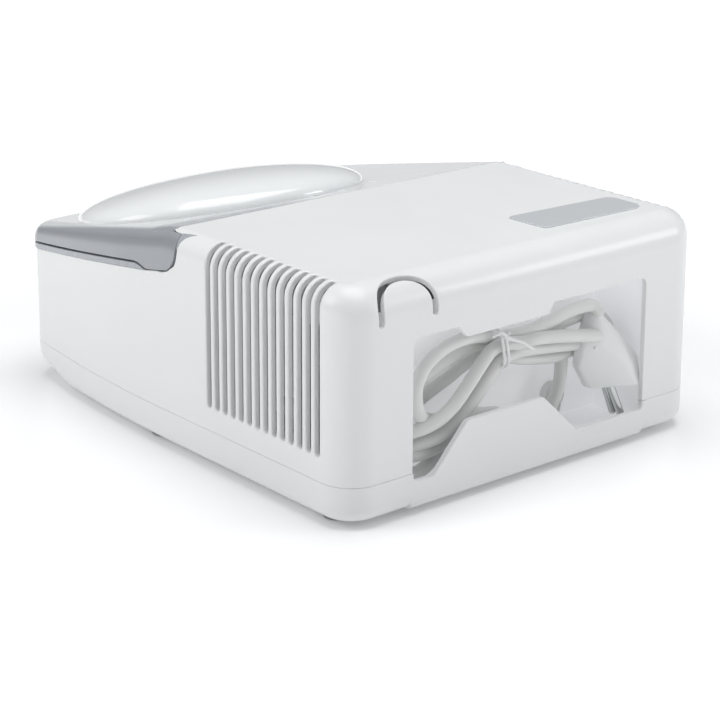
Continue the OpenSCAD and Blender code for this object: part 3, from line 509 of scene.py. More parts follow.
def arch_outline():
    """Arch-shaped slot on the rear wall and its edge round, towards +X."""
    centre_x, outer_x, inner_x, outer_z, inner_z, foot = 75.25, 16.7, 13.6, 75.4, 75.5, 71.4
    foot_x, foot_r = 15.15, 1.55

    def crown(width, base, power, count):
        angle = np.linspace(0, PI, count)
        swell = (np.abs(np.cos(angle)) ** power + np.abs(np.sin(angle)) ** power) ** (-1 / power)
        return np.stack([width * swell * np.cos(angle), base + width * swell * np.sin(angle)], 1)

    def leg(x, start, end):
        return densify([[x, start], [x, end]], 1.5)[1:-1]

    points = np.vstack([
        crown(outer_x, outer_z, 2.15, 33), leg(-outer_x, outer_z, foot),
        arc((-foot_x, foot), foot_r, -180, 0, 7), leg(-inner_x, foot, inner_z),
        crown(inner_x, inner_z, 2.1, 29)[::-1], leg(inner_x, inner_z, foot),
        arc((foot_x, foot), foot_r, -180, 0, 7), leg(outer_x, foot, outer_z)])
    points[:, 0] += centre_x
    return points


def ramp_and_circle(ramp_z, circle):
    """(y, z) line from the knee to the circle, then the circle."""
    return np.vstack([densify([(KNEE_Y, ramp_z), circle[0]], 2.0)[:-1], circle])


def upper_outline():
    """Edge of the upper shell wall in (run, rise)."""
    opening = rounded([row[:2] for row in REAR_OPENING], [row[2] for row in REAR_OPENING])
    opening = densify(opening, 4.0)
    runs = outline.samples(KNEE_RUN, HALF)[::-1]
    rim = np.stack([runs, rise_at_height(rim_height(outline(runs)[0][:, 1]))], 1)
    # bottom of the ear pocket: a shallow relief for the turning ear, then the pocket circle
    sweep = (-93.9, 27.3, 66)
    angle = np.linspace(*sweep)
    reach = (13.5 + (POCKET_R - 13.5) * smoothstep(angle, -66, -58)
             + 1.15 * smoothstep(angle, -50, -30) * (1 - smoothstep(angle, -4, 12)))
    pocket = ramp_and_circle(rim_height(KNEE_Y), arc(HINGE, reach, *sweep))
    pocket = np.stack([outline.run_at(pocket[:, 0]), rise_at_height(pocket[:, 1])], 1)
    # along the ear's inner face to the lid line, then up to the top
    ear_rise = rise_at_inset(5.6)
    ear = densify([pocket[-1], [pocket[-1][0], ear_rise], [TOP_FRONT_RUN, ear_rise],
                   [TOP_FRONT_RUN, ROUND_RISE]], 1.5)
    margin = densify([[TOP_FRONT_RUN, ROUND_RISE], [TOP_FRONT_RUN, MARGIN_RISE]], 1.2)
    front = densify([[HALF, 0], [HALF, rim[0][1]]], 5.0)

    seam_left = outline.samples(-HALF, REAR_OPENING[-1][0])
    seam_right = outline.samples(REAR_OPENING[0][0], HALF)
    return join_chains([
        (with_z(seam_left[:, None], 0.0), True), (opening[::-1], True),
        (with_z(seam_right[:, None], 0.0), True), (front, False), (rim, True),
        (np.vstack([rim[-1:], pocket[1:]]), True), (ear, True), (margin, True),
        (with_z(TOP_RUNS[:, None], MARGIN_RISE), False), (mirror(margin), True),
        (mirror(ear), True), (mirror(pocket), True),
        (np.vstack([mirror(pocket)[-1:], mirror(rim)[1:]]), True), (mirror(front), False)])


def undercut(points):
    """Make room for the lid's rear edge, which swings down behind the hinge axis."""
    swing_r, top_swing_r, top_z, half_width = 9.35, 9.1, 107.3, 104.6
    arm = points[:, 1:] - np.array(HINGE)
    reach = np.linalg.norm(arm, axis=1)
    hit = ((np.abs(points[:, 0]) < half_width) & (reach < swing_r)
           & (points[:, 2] > HINGE[1]) & (points[:, 1] > LID_Y))
    points = points.copy()
    low = hit & (points[:, 2] < top_z)
    high = hit & ~low
    points[low, 1:] = np.array(HINGE) + arm[low] * (swing_r / reach[low])[:, None]
    depth = np.sqrt(np.maximum(top_swing_r ** 2 - (points[high, 2] - HINGE[1]) ** 2, 0))
    points[high, 1] = np.maximum(points[high, 1], HINGE[0] + depth)
    return points


def build_upper_shell():
    skin = Skin()
    vents = [vent_outline(float(outline.run_at(VENT_FIRST_Y + VENT_PITCH * i)), side)
             for side in (1, -1) for i in range(VENT_COUNT)]
    rises = (list(np.linspace(0, WALL_RISE, 13)[1:-1])
             + list(WALL_RISE + (ROUND_RISE - WALL_RISE) * np.arange(0, 13) / 12.0)
             + [ROUND_RISE + 1.7])
    sheet(skin, shell_surface, *upper_outline(), vents + [arch_outline()],
          grid(outline.samples(-HALF, HALF), rises), hole_radii=[0.85] * len(vents) + [0.5])

    place, normal = outline(TOP_RUNS)
    cap = place - TOP_INSET * normal
    sheet(skin, level_surface(TOP),
          *join_chains([(cap, False), (densify([cap[-1], cap[0]], 6.0), True)]), [],
          grid(np.arange(-88, 89, 11.0), np.arange(12, 120, 11.0)))
    return skin.build("casing_upper", warp=undercut)


# ---------------------------------------------------------------- lower shell
LOW_WALL, LOW_ROUND = 11.0, 9.42     # chart drops of the wall and of the bottom round
LOW_DROP = LOW_WALL + LOW_ROUND
UNDER_Z = 2.7

# low edge of the rear opening and its raised tongue: (x, z, corner radius)
LOW_OPENING = [(-72.4, SEAM, 0), (-72.4, 16.0, 2.4), (-28.6, 16.0, 1.2), (-6.6, 37.1, 3.4),
               (40.6, 37.3, 4.5), (60.4, 16.0, 0.8), (72.2, 16.0, 2.6), (72.2, SEAM, 0)]
ROUND_HOLES = [(100, 24), (-100, 24), (100, 126), (-100, 126), (92, -110), (-92, -110)]


def lower_surface(chart):
    """Lower shell wall over (run, drop), the drop being measured down from the seam."""
    run, drop = chart[:, 0], chart[:, 1]
    place, normal = outline(run)
    dist = np.abs(run)
    middle = 1 - smoothstep(dist, 72.6, 73.6)     # the part under the rear opening
    front_corner = outline.knots[4]
    radius = 6.0 - 1.6 * middle + 7.0 * smoothstep(dist, front_corner - 30, front_corner)
    foot = 3.0 - 0.6 * middle
    height = SEAM - foot - radius
    turn = np.clip((drop - LOW_WALL) / LOW_ROUND, 0, 1) * PI / 2
    inset = radius * (1 - np.cos(turn)) - 0.45 * middle * smoothstep(-drop, -30, -0.2)
    z = np.where(drop <= LOW_WALL, SEAM - np.where(drop < 0, drop, drop / LOW_WALL * height),
                 foot + radius * (1 - np.sin(turn)))
    return (with_z(place - inset[:, None] * normal, z),
            with_z(np.cos(turn)[:, None] * normal, -np.sin(turn)))


def lower_outline(bottom_runs):
    """Edge of the lower shell wall in (run, drop)."""
    edge = rounded([row[:2] for row in LOW_OPENING], [row[2] for row in LOW_OPENING])
    edge = densify(edge, 3.0)
    x, z = edge[:, 0], edge[:, 1]
    height = SEAM - 2.4 - 4.4        # wall height under the opening: less its foot and round
    drop = np.where(z > SEAM, SEAM - z, (SEAM - z) * LOW_WALL / height)
    left = outline.samples(-HALF, LOW_OPENING[0][0])
    right = outline.samples(LOW_OPENING[-1][0], HALF)
    return join_chains([
        (with_z(left[:, None], 0.0), True), (np.stack([x, drop], 1), True),
        (with_z(right[:, None], 0.0), True), (densify([[HALF, 0], [HALF, LOW_DROP]], 3.0), False),
        (with_z(bottom_runs[:, None], LOW_DROP), False),
        (densify([[-HALF, LOW_DROP], [-HALF, 0]], 3.0), False)])


def build_lower_shell():
    skin = Skin()
    runs = outline.samples(-HALF, HALF)
    bottom_runs = runs[::-1]
    columns = np.concatenate([runs, [-73.6, -73.1, -72.6, 72.6, 73.1, 73.6]])
    drops = [-12, -6, 2.5, 5.5, 8.5] + list(LOW_WALL + LOW_ROUND * np.arange(0, 7) / 7)
    sheet(skin, lower_surface, *lower_outline(bottom_runs), [], grid(columns, drops),
          radius=0.4, clear=0.45)

    # ledge between the wall's foot and the flat underside
    foot = lower_surface(with_z(bottom_runs[:, None], LOW_DROP))[0][:-1]
    under = foot[:, :2] - 3.0 * outline(bottom_runs[:-1])[1]
    ledge = with_z(under, UNDER_Z)
    down = np.tile([0.0, 0, -1], (len(foot), 1))
    skin.strip(foot, down, ledge, down)
    skin.strip(foot + [0, 0, WALL], -down, ledge + [0, 0, WALL], -down)

    holes = [arc(centre, 3.3, 0, 345, 24) for centre in ROUND_HOLES]
    holes = [hole for hole in holes if inside(under, hole).all()]
    for i in range(-3, 4):
        left, right = i * 8 - 1.5, i * 8 + 1.5
        holes.append(rounded([(left, 34), (right, 34), (right, 70), (left, 70)], 1.4, 5))
    sheet(skin, level_surface(UNDER_Z, -1), under, np.zeros(len(under), bool), holes,
          grid(np.arange(-90, 91, 15.0), np.arange(-120, 121, 15.0)), radius=0.5)
    return skin.build("casing_lower")


# ---------------------------------------------------------------- lid frame
LID_ROUND, LID_END, LID_INSET = 14.0, 17.0, 14.0   # chart rises; inset of the lid's top panel
LID_WALL = 2.2
TAB_RISE = LID_ROUND * 2 / PI * math.acos(1 - 5.4 / SIDE_R)
LID_REAR_RUN = float(outline.run_at(LID_REAR_Y))
LID_RUNS = outline.samples(LID_REAR_RUN, HALF, 5.0)


def lid_radius(y):
    return SIDE_R - 2.9 * smoothstep(-np.asarray(y, float), 5, 125)


def proud(y):
    """How far the lid stands out past the casing outline."""
    return 0.75 * smoothstep(-np.asarray(y, float), 20, 115)


def lid_surface(chart):
    """Lid edge over (run, rise); negative rises are the wall below the edge round."""
    run, rise = chart[:, 0], chart[:, 1]
    place, normal = outline(run)
    y = place[:, 1]
    radius = lid_radius(y)
    turn = np.clip(rise / LID_ROUND, 0, 1) * PI / 2
    margin = np.clip((rise - LID_ROUND) / (LID_END - LID_ROUND), 0, 1)
    inset = radius * (1 - np.cos(turn)) + margin * (LID_INSET - radius) - proud(y)
    place = place - inset[:, None] * normal
    z = (deck_height(np.where(rise < 0, y, place[:, 1])) - radius
         + np.where(rise < 0, rise, radius * np.sin(turn)))
    slope = np.where(place[:, 1] < LID_Y, 0.2, 0.0)
    lean = np.stack([np.cos(turn) * normal[:, 0],
                     np.cos(turn) * normal[:, 1] - slope * np.sin(turn), np.sin(turn)], 1)
    return with_z(place, z), unit(lean)


def lid_rise_at_height(run, z):
    y = outline(run)[0][:, 1]
    radius = lid_radius(y)
    above = np.asarray(z, float) - (deck_height(y) - radius)
    on_round = LID_ROUND * 2 / PI * np.arcsin(np.clip(above / radius, 0, 1))
    return np.where(above <= 0, above, on_round)


def lid_gap(y):
    """Height of the lid's lower edge above the casing rim."""
    return np.interp(y, [-200, -19.6, -17, -14.6, -12, -9], [3.7, 3.7, 3.3, 2.55, 1.35, 0.45])


def lid_edges():
    """Chains of the lid's +X edge: rim, ear, tab, rear."""
    runs = np.linspace(HALF, KNEE_RUN, 150)
    x, y = outline(runs)[0].T
    # shallow notch in the lower edge at the middle of the front
    bump = np.clip(np.cos(np.clip(x / 13.0, -1, 1) * PI / 2), 0, 1)
    notch = 3.2 * bump ** 0.6 * (y < -130)
    rim = np.stack([runs, lid_rise_at_height(runs, rim_height(y) + lid_gap(y) + notch)], 1)
    # ramp, then the ear circle, which clears the pocket when the lid turns
    ear = ramp_and_circle(rim_height(KNEE_Y) + 0.45, arc(HINGE, EAR_R, 296.8, 387.46, 42))
    ear_runs = outline.run_at(ear[:, 0])
    ear = np.stack([ear_runs, lid_rise_at_height(ear_runs, ear[:, 1])], 1)
    ear[-1, 1] = TAB_RISE
    tab = densify([ear[-1], [LID_REAR_RUN, TAB_RISE]], 1.5)
    rear = densify([[LID_REAR_RUN, TAB_RISE], [LID_REAR_RUN, LID_END]], 1.2)
    return rim, np.vstack([rim[-1:], ear[1:]]), tab, rear


# dome plan: a superellipse with its own reach in each direction
DOME_X, DOME_Y, DOME_TURN, DOME_POWER, DOME_HEIGHT = 26.9, -63.5, -0.15, 2.2, 16.3
DOME_RIGHT, DOME_LEFT, DOME_REAR, DOME_FRONT = 72.5, 75.5, 57.8, 61.0
DOME_ANGLES = np.linspace(0, 2 * PI, 145)[:-1]


def dome_plan(scale, angle, grow=0.0):
    """Plan points of the dome and their offset along its own rearward axis."""
    cos, sin = np.cos(angle), np.sin(angle)
    swell = (np.abs(cos) ** DOME_POWER + np.abs(sin) ** DOME_POWER) ** (-1 / DOME_POWER)
    across = (np.where(cos > 0, DOME_RIGHT, DOME_LEFT) + grow) * scale * swell * cos
    rearward = (np.where(sin > 0, DOME_REAR, DOME_FRONT) + grow) * scale * swell * sin
    cos, sin = math.cos(DOME_TURN), math.sin(DOME_TURN)
    return np.stack([DOME_X + across * cos - rearward * sin,
                     DOME_Y + across * sin + rearward * cos], -1), rearward


def dome_ring(grow=0.0):
    return dome_plan(1.0, DOME_ANGLES, grow)[0]


def deck_surface(xy):
    return with_z(xy, deck_height(xy[:, 1])), np.tile(unit([0.0, -0.2, 1.0]), (len(xy), 1))


def lid_panel_edge(runs):
    place, normal = outline(runs)
    return place + (proud(place[:, 1]) - LID_INSET)[:, None] * normal


def lid_inset(xy):
    """Inset of each point from the lid's outer outline, and the normal there."""
    place, normal = outline(np.linspace(-HALF, HALF, 1601))
    edge = place + proud(place[:, 1])[:, None] * normal
    nearest = np.linalg.norm(xy[:, None] - edge[None], axis=2).argmin(1)
    return ((edge[nearest] - xy) * normal[nearest]).sum(1), normal[nearest]


def keep_in(xy, least):
    """Push points inward until they have at least the given inset."""
    inset, normal = lid_inset(xy)
    return xy - np.maximum(0, least - inset)[:, None] * normal


def lid_height(xy):
    radius = lid_radius(xy[:, 1])
    over = np.clip(radius - lid_inset(xy)[0], 0, radius)
    return deck_height(xy[:, 1]) - radius + np.sqrt(radius * radius - over * over)


def paint_clear(lid):
    """Point attribute "clear": 0 at the smoked edge, 1 on the pale panel."""
    verts = np.array([v.co[:] for v in lid.data.vertices]) * 1000
    x, y = verts[:, 0], verts[:, 1]
    border = np.interp(y, [-125, -99, -79, -59, -37, -15, 6], [2.2, 3.2, 4.3, 5.3, 6.2, 6.6, 6.9])
    clear = smoothstep(lid_inset(verts[:, :2])[0] - border, -0.9, 1.3)
    # smoked wedge along the rear edge, wider towards +X
    beyond = np.clip(x - 40, 0, 60)
    wedge = 1 - smoothstep(LID_REAR_Y - y, 5.0 + 0.12 * beyond, 10.0 + 0.18 * beyond)
    clear = np.clip(clear - 0.85 * (wedge * smoothstep(x, 5, 60)), 0, 1)
    layer = lid.data.attributes.new("clear", "FLOAT", "POINT")
    layer.data.foreach_set("value", clear.astype(np.float32))


def build_lid_frame():
    skin = Skin()
    edges = lid_edges()
    low = edges[0][0][1]
    top = with_z(LID_RUNS[:, None], LID_END)
    right = join_chains([(chain, True) for chain in edges] + [
        (top, False), (densify([[HALF, LID_END], [HALF, low]], 3.0), False)])
    left = join_chains([(mirror(chain), True) for chain in edges[::-1]] + [
        (densify([[-HALF, low], [-HALF, LID_END]], 3.0), False), (mirror(top), False)])
    runs = outline.samples(float(outline.run_at(14)), HALF, 5.0)
    rises = [-6, -3.5, -1.5] + list(LID_ROUND * np.arange(0, 13) / 12.0) + [15.5]
    for side, half in ((1, right), (-1, left)):
        sheet(skin, lid_surface, *half, [], grid(side * runs, rises), thick=LID_WALL, radius=0.4)

    right = lid_panel_edge(LID_RUNS)
    left = lid_panel_edge(-LID_RUNS)[::-1]
    rear = densify([left[-1], right[0]], 4.0)
    hole = keep_in(dome_ring(-1.6), LID_INSET + 0.9)
    sheet(skin, deck_surface, *join_chains([(right, False), (left, False), (rear, True)]), [hole],
          grid(np.arange(-90, 91, 6.0), np.arange(-132, 5, 6.0)), thick=LID_WALL, radius=0.4)
    lid = skin.build("lid_smoked_frame")
    paint_clear(lid)
    return lid


# ---------------------------------------------------------------- lid dome
def dome_point(fall, angle):
    """Dome surface; fall runs from 0 at the crown to PI / 2 at the foot."""
    xy, rearward = dome_plan(np.sin(fall) ** (2 / 1.97), angle)
    height = DOME_HEIGHT * np.cos(fall) * (1 + 0.06 * rearward / DOME_REAR)
    return np.concatenate([xy, (deck_height(xy[..., 1]) + height)[..., None]], -1)


def build_dome():
    skin = Skin()
    thick, eps, skirt = 1.9, 1e-4, -3.4
    falls = np.concatenate([[0.012], np.linspace(0.05, PI / 2, 40)])
    fall, angle = np.meshgrid(falls, DOME_ANGLES, indexing="ij")
    outer = dome_point(fall, angle)
    along_fall = (dome_point(np.clip(fall + eps, falls[0], falls[-1]), angle)
                  - dome_point(np.clip(fall - eps, falls[0], falls[-1]), angle))
    along_angle = dome_point(fall, angle + eps) - dome_point(fall, angle - eps)
    normal = unit(np.cross(along_fall, along_angle))
    side = unit(with_z(dome_ring(1.0) - dome_ring(), 0.0))
    normal[-1] = side
    inner = outer - thick * normal
    crown = outer[0].mean(0)

    for k in range(len(falls) - 1):
        skin.strip(outer[k], normal[k], outer[k + 1], normal[k + 1])
    skin.fan(outer[0], [0, -0.2, 0.98], crown, [0, -0.2, 0.98])
    inner_last = len(falls) - 4      # the inner face stops short of the foot
    for k in range(inner_last):
        skin.strip(inner[k], -normal[k], inner[k + 1], -normal[k + 1])
    skin.fan(inner[0], [0, 0.2, -0.98], crown - [0, 0, thick], [0, 0.2, -0.98])

    def above_deck(xy, lift):
        return with_z(xy, deck_height(xy[:, 1]) + lift)

    # foot of the dome on the lid, then a skirt through the lid's hole
    up = np.tile(unit([0.0, -0.2, 1.0]), (len(DOME_ANGLES), 1))
    skirt_out = keep_in(dome_ring(-1.75), LID_INSET + 1.05)
    skirt_in = keep_in(dome_ring(-3.6), LID_INSET + 2.9)
    rings = [outer[-1], with_z(dome_ring(), lid_height(dome_ring()) + 0.02),
             above_deck(skirt_out, 0.02), above_deck(skirt_out, skirt),
             above_deck(skirt_in, skirt), inner[inner_last]]
    for upper, lower, facing in zip(rings, rings[1:], (side, -up, side, -up, -side)):
        skin.strip(upper, facing, lower, facing)
    return skin.build("lid_clear_dome")


# ---------------------------------------------------------------- trim and badge
def trim_surface(chart):
    """Upright band over (run, height above the rim)."""
    place, normal = outline(chart[:, 0])
    y = place[:, 1]
    return (with_z(place + proud(y)[:, None] * normal, rim_height(y) + chart[:, 1]),
            with_z(normal, 0.0))


def build_trim():
    """Band that fills the gap between the rim and the lid."""
    skin = Skin()
    runs = np.linspace(float(outline.run_at(-9.6)), HALF, 130)
    gap = lid_gap(outline(runs)[0][:, 1])
    low = np.stack([runs, np.full(len(runs), 0.12)], 1)
    high = np.stack([runs, np.maximum(gap - 0.95, 0.14)], 1)
    edge, free = join_chains([(low, True), (densify([low[-1], high[-1]], 5.0), False),
                              (high[::-1], True), (np.array([high[0], low[0]]), True)])
    for side in (1, -1):
        sheet(skin, trim_surface, edge * [side, 1], free, [],
              grid(runs[2::4], [1.0, 1.8]) * [side, 1], thick=5.5, radius=0.12, steps=3, clear=0.35)
    return skin.build("deck_trim_band")


# fixed tips behind the lid's ears: (y, inset on the edge round)
TIP = [(14.95, 0.8), (14.7, 1.5), (14.4, 2.34), (14.06, 3.42), (13.6, 4.83), (13.4, 5.65),
       (13.9, 5.9), (18.2, 6.9), (22.4, 7.5), (19.8, 5.8), (17.8, 4.0), (16.6, 2.3), (16.2, 0.9),
       (15.6, 0.5)]


def inlay_surface(chart):
    place, normal = shell_surface(chart)
    return place + 0.12 * normal, normal


def build_tips():
    skin = Skin()
    tip = [(float(outline.run_at(y)), rise_at_inset(inset)) for y, inset in TIP]
    tip = densify(tip, 1.2, closed=True)
    for side in (1, -1):
        sheet(skin, inlay_surface, tip * [side, 1], np.ones(len(tip), bool), [],
              np.zeros((0, 2)), thick=0.9, radius=0.14, steps=2)
    return skin.build("deck_trim_tips")


def build_badge():
    """Blank plate on the flat top."""
    skin = Skin()
    edge = rounded([(-26.7, 90.1), (-27.6, 115.2), (-86.5, 117.1), (-92.2, 114.0), (-92.1, 94.3)],
                   [3.0, 3.0, 5.0, 5.0, 5.0], 8)
    sheet(skin, level_surface(TOP + 0.75), edge, np.ones(len(edge), bool), [],
          grid(np.arange(-88, -28, 6.0), np.arange(94, 116, 5.0)), thick=0.72, radius=0.3)
    return skin.build("badge_plate_blank")


# ---------------------------------------------------------------- tubes
def spline(points, step, closed):
    """Centripetal Catmull-Rom curve through the points."""
    points = np.asarray(points, float)
    if closed:
        padded = np.vstack([points[-1:], points, points[:2]])
    else:
        padded = np.vstack([2 * points[0] - points[1], points, 2 * points[-1] - points[-2]])
    out = []
    for i in range(len(padded) - 3):
        a, b, c, d = padded[i:i + 4]
        t0, t1 = 0.0, max(np.linalg.norm(b - a), 1e-6) ** 0.5
        t2 = t1 + max(np.linalg.norm(c - b), 1e-6) ** 0.5
        t3 = t2 + max(np.linalg.norm(d - c), 1e-6) ** 0.5
        count = max(2, int(math.ceil(np.linalg.norm(c - b) / step)))
        t = (t1 + (t2 - t1) * np.arange(count) / count)[:, None]
        ab = (t1 - t) / (t1 - t0) * a + (t - t0) / (t1 - t0) * b
        bc = (t2 - t) / (t2 - t1) * b + (t - t1) / (t2 - t1) * c
        cd = (t3 - t) / (t3 - t2) * c + (t - t2) / (t3 - t2) * d
        abc = (t2 - t) / (t2 - t0) * ab + (t - t0) / (t2 - t0) * bc
        bcd = (t3 - t) / (t3 - t1) * bc + (t - t1) / (t3 - t1) * cd
        out.append((t2 - t) / (t2 - t1) * abc + (t - t1) / (t2 - t1) * bcd)
    if not closed:
        out.append(points[-1:])
    return np.vstack(out)


def tube(skin, points, radius, sides=16, closed=False, step=1.5, flat=1.0):
    """Tube along a smoothed curve, with domed ends when open; `flat` squeezes one way."""
    path = spline(points, step, closed)
    for _ in range(3):
        path[1:-1] = 0.25 * path[:-2] + 0.5 * path[1:-1] + 0.25 * path[2:]
    count = len(path)
    if closed:
        tangent = unit(np.roll(path, -1, 0) - np.roll(path, 1, 0))
    else:
        tangent = unit(np.gradient(path, axis=0))
    # carry a side vector along the path without twist
    wide = [unit(np.cross(tangent[0], [0.3, 0.2, 1.0]))]
    for k in range(1, count):
        wide.append(unit(wide[-1] - (wide[-1] * tangent[k]).sum() * tangent[k]))
    wide = np.array(wide)
    if closed:
        # spread the closing error over the whole loop
        error = math.atan2(float(np.dot(np.cross(wide[-1], wide[0]), tangent[0])),
                           float(np.dot(wide[-1], wide[0])))
        share = (error * np.arange(count) / count)[:, None]
        wide = wide * np.cos(share) + np.cross(tangent, wide) * np.sin(share)
    high = np.cross(tangent, wide)
    angle = np.linspace(0, 2 * PI, sides + 1)[:-1]
    cos, sin = np.cos(angle)[None, :, None], np.sin(angle)[None, :, None]
    normal = wide[:, None] * cos + high[:, None] * sin
    offset = wide[:, None] * cos + high[:, None] * (flat * sin)
    rings = path[:, None] + radius * offset
    for k in range(count if closed else count - 1):
        after = (k + 1) % count
        skin.strip(rings[k], normal[k], rings[after], normal[after])
    if closed:
        return
    for end, sign in ((0, -1), (count - 1, 1)):
        out = sign * tangent[end]
        last = (rings[end], normal[end])
        for k in range(1, 5):
            turn = k / 5 * PI / 2
            ring = path[end] + radius * (offset[end] * math.cos(turn) + out * math.sin(turn) * flat)
            lean = unit(normal[end] * math.cos(turn) + out * math.sin(turn))
            skin.strip(*last, ring, lean)
            last = (ring, lean)
        skin.fan(*last, path[end] + out * radius * flat, out)


# ---------------------------------------------------------------- mains cord, twist tie, plug
CORD_RADIUS = 3.15
# visible lengths of the bundled cord: (x, y, z)
CORD_RUNS = [
    [(-52, 127, 66.5), (-50, 125.5, 69.3), (-37.9, 125, 69.6), (-24, 126, 67.9),
     (-13.4, 126.5, 66.3), (-1.9, 126.5, 65.6), (12.8, 124.5, 66.3), (23.9, 126, 69.7),
     (38.8, 128, 70.8), (52.3, 130, 68.5), (60.9, 131, 63.4), (64.6, 131, 56.6), (64, 130, 48.5),
     (58.9, 127, 40.3), (49.5, 121.5, 34.7), (38, 116, 30.5), (26, 112, 27)],
    [(-72, 108.5, 49), (-65.5, 110.5, 48.8), (-55.6, 113.5, 46.4), (-44.7, 115.5, 45.1),
     (-32.8, 117.5, 45.7), (-18.8, 119.5, 48.3), (-6.2, 121.5, 51.6), (4.2, 121.5, 54.8),
     (12, 119.5, 57.2), (22.3, 117, 54.4), (31.5, 116, 49.7), (42.5, 114.5, 44.4), (50.5, 113, 40),
     (57.5, 112, 38.2), (62.5, 112.5, 42.5), (60, 115, 48), (52.1, 117.5, 52), (44.2, 119, 56.4),
     (33.3, 120, 60.6), (23.2, 121, 63.6), (13, 121.5, 63.2), (5, 121.5, 60.6),
     (-3.8, 121.5, 60.4), (-17.5, 121.5, 61.6), (-30.3, 121, 62.5), (-45.4, 119, 63),
     (-56.3, 117, 62.1), (-64, 116.5, 59), (-66.8, 119, 55), (-63.5, 122.5, 52.2),
     (-57.5, 125.6, 52.5), (-48.8, 128.6, 55.4), (-34.4, 130, 58.7), (-20.3, 130, 61.2),
     (-8.6, 130.2, 62.8), (2, 130.6, 63), (10, 130.6, 64.4), (18.4, 130.2, 63.6), (27.3, 131, 57.1),
     (35.1, 131, 49.1), (44.9, 131, 40.8), (53.7, 130, 36.4), (60.8, 127.5, 34.1),
     (66.5, 124, 32.5), (70.8, 120.5, 29.6), (68.6, 120, 25.4), (62.1, 122, 24.4),
     (57.9, 125, 26.2), (49.8, 128, 28.3), (39.9, 129, 32.4), (29.1, 128, 39.8), (20.2, 128, 48.5),
     (12.2, 128, 56.6), (3.2, 127.6, 58), (-4, 127, 57.4), (-12.7, 126, 56.2), (-28.7, 124, 53.5),
     (-46.1, 121, 50.2), (-60, 116.6, 49.3), (-68, 111.5, 54)],
    [(-46, 103, 20), (-45.6, 106.5, 18), (-42, 108.5, 12.5), (-34, 109.5, 10.8), (-24, 110, 10.8)],
    [(-8, 113, 11.5), (-20, 116.5, 12), (-27, 118.5, 15.5), (-30.6, 119, 22), (-35.6, 118.5, 30),
     (-38.6, 117, 40.9), (-40.8, 114.5, 48.6), (-42, 111.5, 56), (-35, 109.5, 60)],
    [(66.5, 118.5, 22), (63.8, 122.5, 21.1), (57.8, 125, 21.4), (47.9, 125, 22.1),
     (37.1, 123.5, 26), (24.4, 121, 31), (12, 117, 27.5), (0, 113, 24)],
    [(64, 117, 10.8), (57.5, 122.5, 11.4), (50.5, 123.5, 14.6), (42.3, 121.5, 19.2),
     (33, 117.5, 21.5), (24, 113, 20)]]

TIE_LOOP = [(15.2, 134.6, 70.4), (14.2, 134.9, 66), (13, 134.7, 60.5), (11.8, 133.2, 55.6),
            (11.4, 128.5, 52.4), (11.8, 121, 51), (13, 115.6, 54), (14.6, 114.6, 61),
            (15.4, 117, 67.8), (15.6, 123, 71.4), (15.6, 130, 72)]
# loose ends and knot of the tie: (sample step, points)
TIE_ENDS = [
    (1.0, [(18, 133.6, 71.2), (15.8, 135.4, 70.6), (12, 135.6, 68.2), (6, 135.4, 65.6),
           (1, 135.2, 62.4), (-2.8, 134.6, 60)]),
    (1.0, [(12.6, 134.6, 68), (16.6, 136.2, 71), (19.6, 136, 73.2), (22.6, 134.8, 71.4)]),
    (0.8, [(13.5, 134.2, 69.6), (15.2, 136.4, 69.8), (17.4, 135, 70.2), (16, 134, 72),
           (14.2, 135.8, 71.6)])]

# the plug body is the hull of these points: (x, y, z)
PLUG = [(-42.8, 127.5, 51.5), (-42.4, 125, 40), (-49.4, 126, 28), (-51.2, 131.5, 51.4),
        (-58.1, 133.4, 44.4), (-64.7, 135.4, 38.4), (-71.3, 136.4, 27.4), (-52.4, 127, 67.4),
        (-57, 127.5, 60.6), (-66.8, 128.5, 51.7), (-72.6, 130.5, 45.9), (-75.3, 132, 40.5),
        (-75.4, 133.2, 36.1), (-74.2, 135, 26.9), (-46, 122, 63), (-50, 121.5, 66.5),
        (-60, 121, 57), (-70, 122, 46), (-72, 124, 38), (-70, 126, 27), (-50, 120, 27.5),
        (-43, 119, 40), (-43, 121, 52)]
PLUG_BOSS = [(-48.6, 128.6, 49.8), (-48.3, 129.2, 49.7), (-48, 129.8, 49.6)]
PLUG_PINS = [((-60, 128.5, 29), (-65.2, 131, 14.1)), ((-60.6, 124, 29), (-64.6, 126.5, 14.1))]


def build_cord():
    skin = Skin()
    for points in CORD_RUNS:
        tube(skin, points, CORD_RADIUS)
    return skin.build("mains_cord")


def build_tie():
    """Wire wound twice round the cord bundle, with its loose ends."""
    skin = Skin()
    second = [(x + 2.1 + 0.5 * math.sin(i), y - 0.1, z + 0.25)
              for i, (x, y, z) in enumerate(TIE_LOOP)]
    for points in (TIE_LOOP, second):
        tube(skin, points, 0.75, sides=10, closed=True, step=1.2, flat=0.75)
    for step, points in TIE_ENDS:
        tube(skin, points, 0.8, sides=10, step=step)
    return skin.build("cord_twist_tie")


